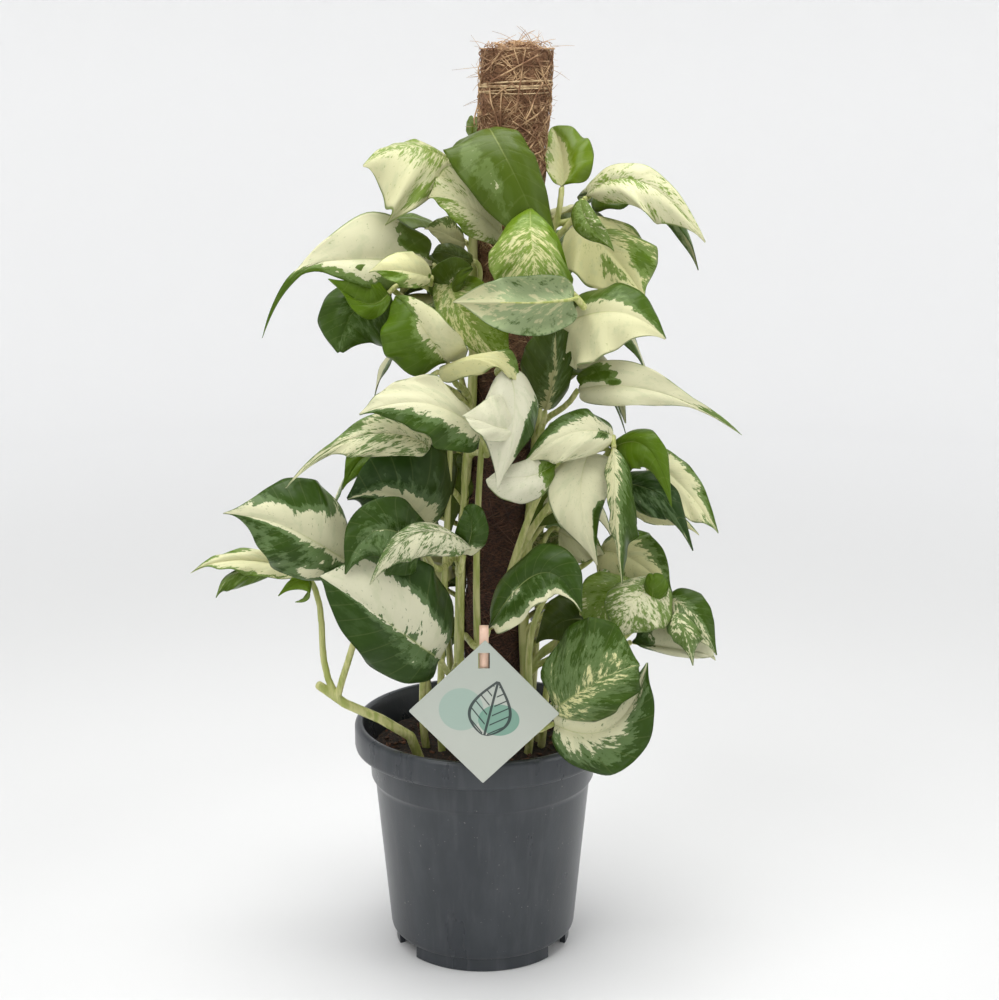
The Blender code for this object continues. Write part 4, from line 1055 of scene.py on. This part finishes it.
# Long cords over the coir: start height in cm, angle in degrees, climb in cm, turns
COIR_CORDS = (
    (55, -88, 4, 0.03), (54, -112, 2.5, -0.06), (54.6, -72, 2.2, 0.07), (56.8, -130, 1.6, 0.2),
    (58.2, -60, -2.6, 0.12), (55.5, 20, 3, 0.05), (54.5, 95, 3.4, -0.08), (57, 150, -2.8, 0.1),
    (56.5, 200, 2, 0.12),
)


def make_pole():
    """A lumpy coir core wound with strands, with loose fibres standing out of it."""
    rand = random.Random(11)
    shape = bmesh.new()
    bmesh.ops.create_cone(shape, cap_ends=True, segments=72, radius1=1, radius2=1,
                          depth=POLE_TOP - POLE_BOTTOM - 3 * MM)
    rims = [edge for edge in shape.edges if abs(edge.verts[0].co.z - edge.verts[1].co.z) < 1 * CM]
    bmesh.ops.bevel(shape, geom=rims, offset=3 * MM, offset_type="WIDTH", segments=3, profile=0.5,
                    affect="EDGES", material=-1)
    sides = [edge for edge in shape.edges if abs(edge.verts[0].co.z - edge.verts[1].co.z) > 1 * CM]
    bmesh.ops.subdivide_edges(shape, edges=sides, cuts=240)
    for vertex in shape.verts:
        height = vertex.co.z + (POLE_TOP + POLE_BOTTOM) / 2 - 1.5 * MM
        girth = pole_girth(height)
        at = Vector((vertex.co.x * girth, vertex.co.y * girth, height))
        lump = girth * (1 + 0.07 * noise.noise(at * 55) + 0.05 * noise.noise(at * 190))
        axis = pole_axis(height)
        vertex.co = Vector((axis.x + vertex.co.x * lump, axis.y + vertex.co.y * lump, height))
    core = mesh_of("coir_core", shape, 60)
    surface = Surface("coir_core", 0.95)
    place = surface.here()
    # The core is darker towards the bottom: the darker colour below 0.36 m, the lighter one above 0.44 m
    upper_share = place.part(2).step(0.36, 0.44)
    hair = place.scaled((1.0, 1.0, 2.2)).noise(520.0, 4.0, 0.8)
    high_colour = surface.colour(0.1, 0.045, 0.022).blend(hair.step(0.36, 0.6), surface.colour(0.34, 0.18, 0.09))
    low_colour = surface.colour(0.025, 0.011, 0.007).blend(hair.step(0.4, 0.65), surface.colour(0.12, 0.05, 0.028))
    surface.set(Base_Color=low_colour.blend(upper_share, high_colour)).bump(hair, 1.2 * MM, 1.0)
    piece("coir_core", core, surface, replaces=("coir_sleeve",), slot="coir_sleeve")

    def wound(start, angle, climb, turns, count, radius, stand):
        """A strand lying on the pole."""
        points = []
        for k in range(count):
            t = k / (count - 1)
            height = min(max(start + climb * t, POLE_BOTTOM + 1 * CM), POLE_TOP - 2 * MM)
            a = angle + turns * 2 * math.pi * t
            r = pole_girth(height) + stand + 0.8 * MM * math.sin(8 * t + angle * 5)
            points.append(around(pole_axis(height), r, a))
        return points, [radius] * count

    strands, low_strands = bmesh.new(), bmesh.new()
    for i in range(1500):
        start = POLE_BOTTOM + 9 * CM + (POLE_TOP - POLE_BOTTOM - 9 * CM) * rand.uniform(0, 1) ** 0.6
        climb = rand.uniform(-3, 3) * CM
        turns = rand.uniform(0.02, 0.3) * rand.choice((-1, 1))
        points, radii = wound(start, rand.uniform(0, 2 * math.pi), climb, turns, 8,
                              rand.uniform(0.12, 0.3) * MM, 0.6 * MM)
        # Strands that start below 0.36 to 0.44 m go into the lower set, which takes a darker colour
        add_tube(strands if start > rand.uniform(0.36, 0.44) else low_strands, points, radii, 0)
    for i in range(110):
        start = 0.47 + 0.116 * rand.uniform(0, 1)
        points, radii = wound(start, rand.uniform(0, 2 * math.pi), rand.uniform(-7, 7) * CM,
                              rand.uniform(-0.5, 0.5), 18, rand.uniform(0.2, 0.45) * MM, 1.2 * MM)
        add_tube(strands, points, radii, 1)
    for start, angle, climb, turns in COIR_CORDS:
        points, radii = wound(start * CM, math.radians(angle), climb * CM, turns, 24, 0.5 * MM, 2.2 * MM)
        add_tube(strands, points, radii, 1)
    fibre = Surface("coir_strands", 0.8)
    tone = fibre.here().noise(75.0, 3.0, 0.7)
    fibre.set(Base_Color=fibre.colour(0.2, 0.095, 0.045).blend(
        tone.step(0.38, 0.6), fibre.colour(0.56, 0.37, 0.2)))
    piece("coir_strands", mesh_of("coir_strands", strands), fibre, slot="coir_sleeve")
    # The lower strands' colour, darker than the others
    low_fibre = Surface("coir_strands_low", 0.7)
    tone = low_fibre.here().noise(75.0, 3.0, 0.7)
    low_fibre.set(Base_Color=low_fibre.colour(0.035, 0.016, 0.01).blend(
        tone.step(0.4, 0.65), low_fibre.colour(0.17, 0.08, 0.045)))
    piece("coir_strands_low", mesh_of("coir_strands_low", low_strands), low_fibre, slot="coir_sleeve")

    loose = bmesh.new()
    for i in range(130):
        height = POLE_TOP - abs(rand.gauss(0, 0.5)) * 7 * CM - 2 * MM
        a = rand.uniform(0, 2 * math.pi)
        outward = Vector((math.cos(a), math.sin(a), 0))
        point = pole_axis(height) + outward * rand.uniform(0.8, 1.0) * pole_girth(height)
        heading = (outward * rand.uniform(0.2, 1.0) + Vector((0, 0, rand.uniform(-0.4, 1.0)))).normalized()
        length = rand.uniform(4, 13) * MM
        curl = Vector((rand.uniform(-1, 1), rand.uniform(-1, 1), rand.uniform(-1, 0.6)))
        points = [point + heading * length * t + curl * length * 0.7 * t * t for t in (0, 0.25, 0.5, 0.75, 1)]
        add_tube(loose, points, [0.15 * MM, 0.14 * MM, 0.13 * MM, 0.11 * MM, 0.07 * MM], 0)
    for i in range(150):
        height = POLE_TOP + rand.uniform(-4, 0) * MM
        a, r = rand.uniform(0, 2 * math.pi), rand.uniform(0, 19) * MM
        point = around(pole_axis(height), r, a)
        turn, length = rand.uniform(0, 2 * math.pi), rand.uniform(5, 15) * MM
        flat = Vector((math.cos(turn), math.sin(turn), rand.uniform(-0.1, 0.4)))
        points = [point + flat * length * (t - 0.5) + Vector((0, 0, 3 * MM * math.sin(3 * t))) for t in
                  (0, 0.2, 0.4, 0.6, 0.8, 1)]
        add_tube(loose, points, [0.2 * MM] * 6, 0)
    for i in range(26):
        a, r = rand.uniform(0, 2 * math.pi), rand.uniform(6, 20) * MM
        point = around(pole_axis(POLE_TOP - 3 * MM), r, a)
        lean = Vector((rand.uniform(-0.5, 0.5), rand.uniform(-0.5, 0.5), 1.0))
        curl = Vector((rand.uniform(-1, 1), rand.uniform(-1, 1), rand.uniform(-0.6, 0.1)))
        length = rand.uniform(6, 17) * MM
        points = [point + (lean * t + curl * t * t) * length for t in (0, 0.2, 0.4, 0.6, 0.8, 1)]
        add_tube(loose, points, [0.24 * MM, 0.23 * MM, 0.21 * MM, 0.18 * MM, 0.15 * MM, 0.1 * MM], 0)
    piece("coir_loose_fibres", mesh_of("coir_loose_fibres", loose), fibre, slot="coir_sleeve")

    tie = bmesh.new()
    for i in range(6):
        base = TIE_HEIGHT - 2.5 * MM + 1.0 * MM * i
        points = []
        for k in range(49):
            a = 2 * math.pi * k / 48
            r = 22.6 * MM + 0.25 * MM * math.sin(3 * a + i)
            points.append(around(pole_axis(base + 1.4 * MM * math.sin(a + 1.7 * i)), r, a))
        add_tube(tie, points, [(0.35 + 0.05 * i) * MM] * 49, 1)
    straw = Surface("tie_straw", 0.7)
    tone = straw.here().noise(160.0, 3.0, 0.7)
    straw.set(Base_Color=straw.colour(0.3, 0.17, 0.08).blend(
        tone.step(0.35, 0.6), straw.colour(0.62, 0.46, 0.26)))
    piece("tie_strands", mesh_of("tie_strands", tie), straw, replaces=("pole_tie",), slot="pole_tie")


def paint_stake():
    """The stake inside the coir keeps the frame's shape and gets a plain plastic skin."""
    surface = Surface("stake_plastic", 0.45)
    tone = surface.here().noise(90.0, 2.0)
    surface.set(Base_Color=surface.colour(0.03, 0.05, 0.03).blend(tone, surface.colour(0.05, 0.075, 0.045)))
    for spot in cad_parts["pole_stake"].material_slots:
        spot.material = surface.material


# ---------------------------------------------------------------- tag


def make_tag():
    """A square card on its corner, with a plain leaf sign of our own, and the strap through its slot."""
    surface = Surface("tag_card", 0.5, Specular_IOR_Level=0.4)
    place = surface.here()
    x = place.part(0) - TAG_CENTRE.x
    z = place.part(2) - TAG_CENTRE.z
    card = surface.colour(0.5, 0.525, 0.465).blend(
        z.step(-3 * CM, 4 * CM) * 0.5, surface.colour(0.38, 0.43, 0.38))

    def inside(cx, cz, rx, rz):
        far = ((x - cx) / rx) ** 2.0 + ((z - cz) / rz) ** 2.0
        return far.step(1.05, 0.98)

    disc = inside(-1.4 * CM, 0.2 * CM, 1.35 * CM, 1.35 * CM)
    card = card.blend(disc * 0.6, surface.colour(0.27, 0.42, 0.35))
    card = card.blend(inside(0.9 * CM, -0.5 * CM, 1.25 * CM, 1.0 * CM) * 0.8, surface.colour(0.12, 0.3, 0.22))
    # The leaf sign: a blade shape leaning to the right, with a rib and side veins
    lean = math.radians(14)
    along = (z + 1.5 * CM) * math.cos(lean) + x * math.sin(lean)
    aside = x * math.cos(lean) - (z + 1.5 * CM) * math.sin(lean)
    share = (along / (3.6 * CM)).at_least(0.0).at_most(1.0)
    half = (share ** 0.75 * math.pi).math("SINE") * (1.25 * CM)
    rim = (abs(aside) - half) / (1.0 * MM)
    outline = abs(rim).step(1.1, 0.8)
    body = rim.step(0.0, -1.0)
    rib = (abs(aside) / (0.8 * MM)).step(1.1, 0.8) * body
    veins = abs(((along - abs(aside) * 0.8) / (0.62 * CM)).wave(0.5)).step(0.3, 0.2) * body
    veins = veins * (abs(aside) / (1.5 * MM)).step(0.9, 1.1)
    on_blade = along.step(0.0, 0.3 * MM) * along.step(3.6 * CM, 3.57 * CM)
    ink = outline.at_least(rib).at_least(veins) * on_blade
    card = card.blend(ink * 0.92, surface.colour(0.02, 0.03, 0.03))
    surface.set(Base_Color=card)
    shape = bmesh.new()
    bmesh.ops.create_cube(shape, size=1.0)
    bmesh.ops.scale(shape, vec=(TAG_SIDE, TAG_THICKNESS, TAG_SIDE), verts=shape.verts)
    uprights = [e for e in shape.edges if abs(e.verts[0].co.y - e.verts[1].co.y) > 0.1 * MM]
    bmesh.ops.bevel(shape, geom=uprights, offset=0.8 * MM, offset_type="OFFSET", segments=3, profile=0.5,
                    affect="EDGES", material=-1)
    bmesh.ops.rotate(shape, matrix=Matrix.Rotation(TAG_SPIN, 4, "Y"), verts=shape.verts)
    bmesh.ops.translate(shape, vec=TAG_CENTRE, verts=shape.verts)
    hole = bmesh.new()
    bmesh.ops.create_cube(hole, size=1.0)
    bmesh.ops.scale(hole, vec=(7 * MM, 6 * MM, 10 * MM), verts=hole.verts)
    bmesh.ops.translate(hole, vec=TAG_CENTRE + Vector((0, 0, 3.3)) * CM, verts=hole.verts)
    cutter = bpy.data.objects.new("tag_cutter", mesh_of("tag_cutter", hole))
    bpy.context.scene.collection.objects.link(cutter)
    mesh = with_modifiers(mesh_of("tag_face", shape),
                          ("BOOLEAN", {"operation": "DIFFERENCE", "solver": "EXACT", "object": cutter}))
    bpy.data.objects.remove(cutter)
    piece("tag_face", mesh, surface, replaces=("plant_tag",), slot="plant_tag")

    low = TAG_CENTRE + Vector((0, 0.15, 2.4)) * CM
    points = [low + Vector((0.0, 0.0, step)) * CM for step in (0.0, 0.6, 1.2, 1.8, 2.4)]
    points += [low + Vector((0.0, 0.5 - 0.5 * math.cos(a), 2.4 + 0.5 * math.sin(a))) * CM
               for a in map(float, np.linspace(0.3, math.pi, 12))]
    points.append(points[-1] + Vector((0, 0, -0.8)) * CM)
    band = bmesh.new()
    bmesh.ops.create_grid(band, x_segments=1, y_segments=len(points) - 1, size=0.5)
    for vertex in band.verts:
        station = round((vertex.co.y + 0.5) * (len(points) - 1))
        vertex.co = points[station] + Vector((vertex.co.x * STRAP_WIDTH, 0, 0))
    mesh = with_modifiers(mesh_of("strap_band", band, 180),
                          ("SOLIDIFY", {"thickness": 0.5 * MM, "offset": 0.0}))
    peach = Surface("strap_peach", 0.45)
    tone = peach.here().noise(300.0, 2.0)
    peach.set(Base_Color=peach.colour(0.74, 0.47, 0.34).blend(tone, peach.colour(0.86, 0.62, 0.48)))
    piece("strap_band", mesh, peach, replaces=("tag_strap",), slot="tag_strap")


# ---------------------------------------------------------------- studio


def make_studio():
    """A pale round floor that curves up into a low wall, soft lights and the camera."""
    shape = bmesh.new()
    profile = [(0.0, 0.0), (0.4, 0.0), (1.9, 0.0)]
    profile += [(1.9 + 0.6 * math.sin(a), 0.6 - 0.6 * math.cos(a))
                for a in map(float, np.linspace(0.1, 1.5, 12))]
    profile.append((2.52, 1.1))
    verts = [shape.verts.new((radius, 0, height)) for radius, height in profile]
    edges = [shape.edges.new(pair) for pair in zip(verts, verts[1:])]
    bmesh.ops.spin(shape, geom=verts + edges, cent=(0, 0, 0), axis=(0, 0, 1), angle=2 * math.pi,
                   steps=96, use_merge=True)
    bmesh.ops.remove_doubles(shape, verts=shape.verts, dist=0.1 * MM)
    for face in shape.faces:
        if face.calc_center_median().dot(face.normal) > 0 and face.normal.z < 0.5:
            face.normal_flip()
    floor = bpy.data.objects.new("studio_floor", mesh_of("studio_floor", shape, 180))
    bpy.context.scene.collection.objects.link(floor)
    paper = Surface("studio_paper", 0.9)
    place = paper.here()
    reach = (place.part(0) ** 2.0 + place.part(1) ** 2.0).math("SQRT")
    far = reach.step(0.7, 2.0)
    # The paper is lighter within 0.14 m of the pot's axis than beyond 0.4 m: a painted pool of light against
    # the shade round the pot's foot
    tone = paper.colour(0.76, 0.76, 0.755).blend(reach.step(0.14, 0.4), paper.colour(0.665, 0.665, 0.66))
    tone = tone.blend(far, paper.colour(0.86, 0.86, 0.86))
    # Far out the paper glows as well: painted light on the low wall
    glow = paper.colour(0.0, 0.0, 0.0).blend(far, paper.colour(0.1, 0.1, 0.1))
    paper.set(Base_Color=tone, Emission_Color=glow, Emission_Strength=1.0)
    floor.data.materials.append(paper.material)

    world = bpy.data.worlds.new("studio_world")
    bpy.context.scene.world = world
    world.use_nodes = True
    sky = world.node_tree.nodes["Background"]
    sky.inputs["Color"].default_value = (0.97, 0.985, 1.0, 1.0)
    sky.inputs["Strength"].default_value = 0.46

    def softbox(name, spot, aim, size, power):
        light = bpy.data.lights.new(name, "AREA")
        light.shape = "RECTANGLE"
        light.size, light.size_y = size
        light.energy = power
        made = bpy.data.objects.new(name, light)
        bpy.context.scene.collection.objects.link(made)
        made.location = spot
        made.rotation_euler = (Vector(aim) - Vector(spot)).to_track_quat("-Z", "Y").to_euler()

    softbox("key_light", (-0.9, -1.3, 1.9), (0, 0, 0.3), (1.4, 1.1), 15)
    softbox("top_light", (0.05, 0.0, 1.7), (0, 0, 0.2), (1.3, 1.3), 26)
    softbox("side_light", (1.5, -0.6, 1.0), (0, 0, 0.3), (0.8, 1.2), 4.5)

    lens = bpy.data.cameras.new("camera")
    lens.lens = 64.8
    lens.sensor_width = 36.0
    camera = bpy.data.objects.new("camera", lens)
    bpy.context.scene.collection.objects.link(camera)
    camera.location = (0.0114, -1.137, 0.570)
    camera.rotation_euler = (math.radians(90 - 13.17), 0, 0)
    bpy.context.scene.camera = camera
    bpy.context.scene.view_settings.view_transform = "Standard"


stem_skin = stem_surface()
make_leaves(stem_skin)
make_stems(stem_skin)
make_shoots(stem_skin)
make_pot()
make_soil()
make_pole()
paint_stake()
make_tag()
make_studio()
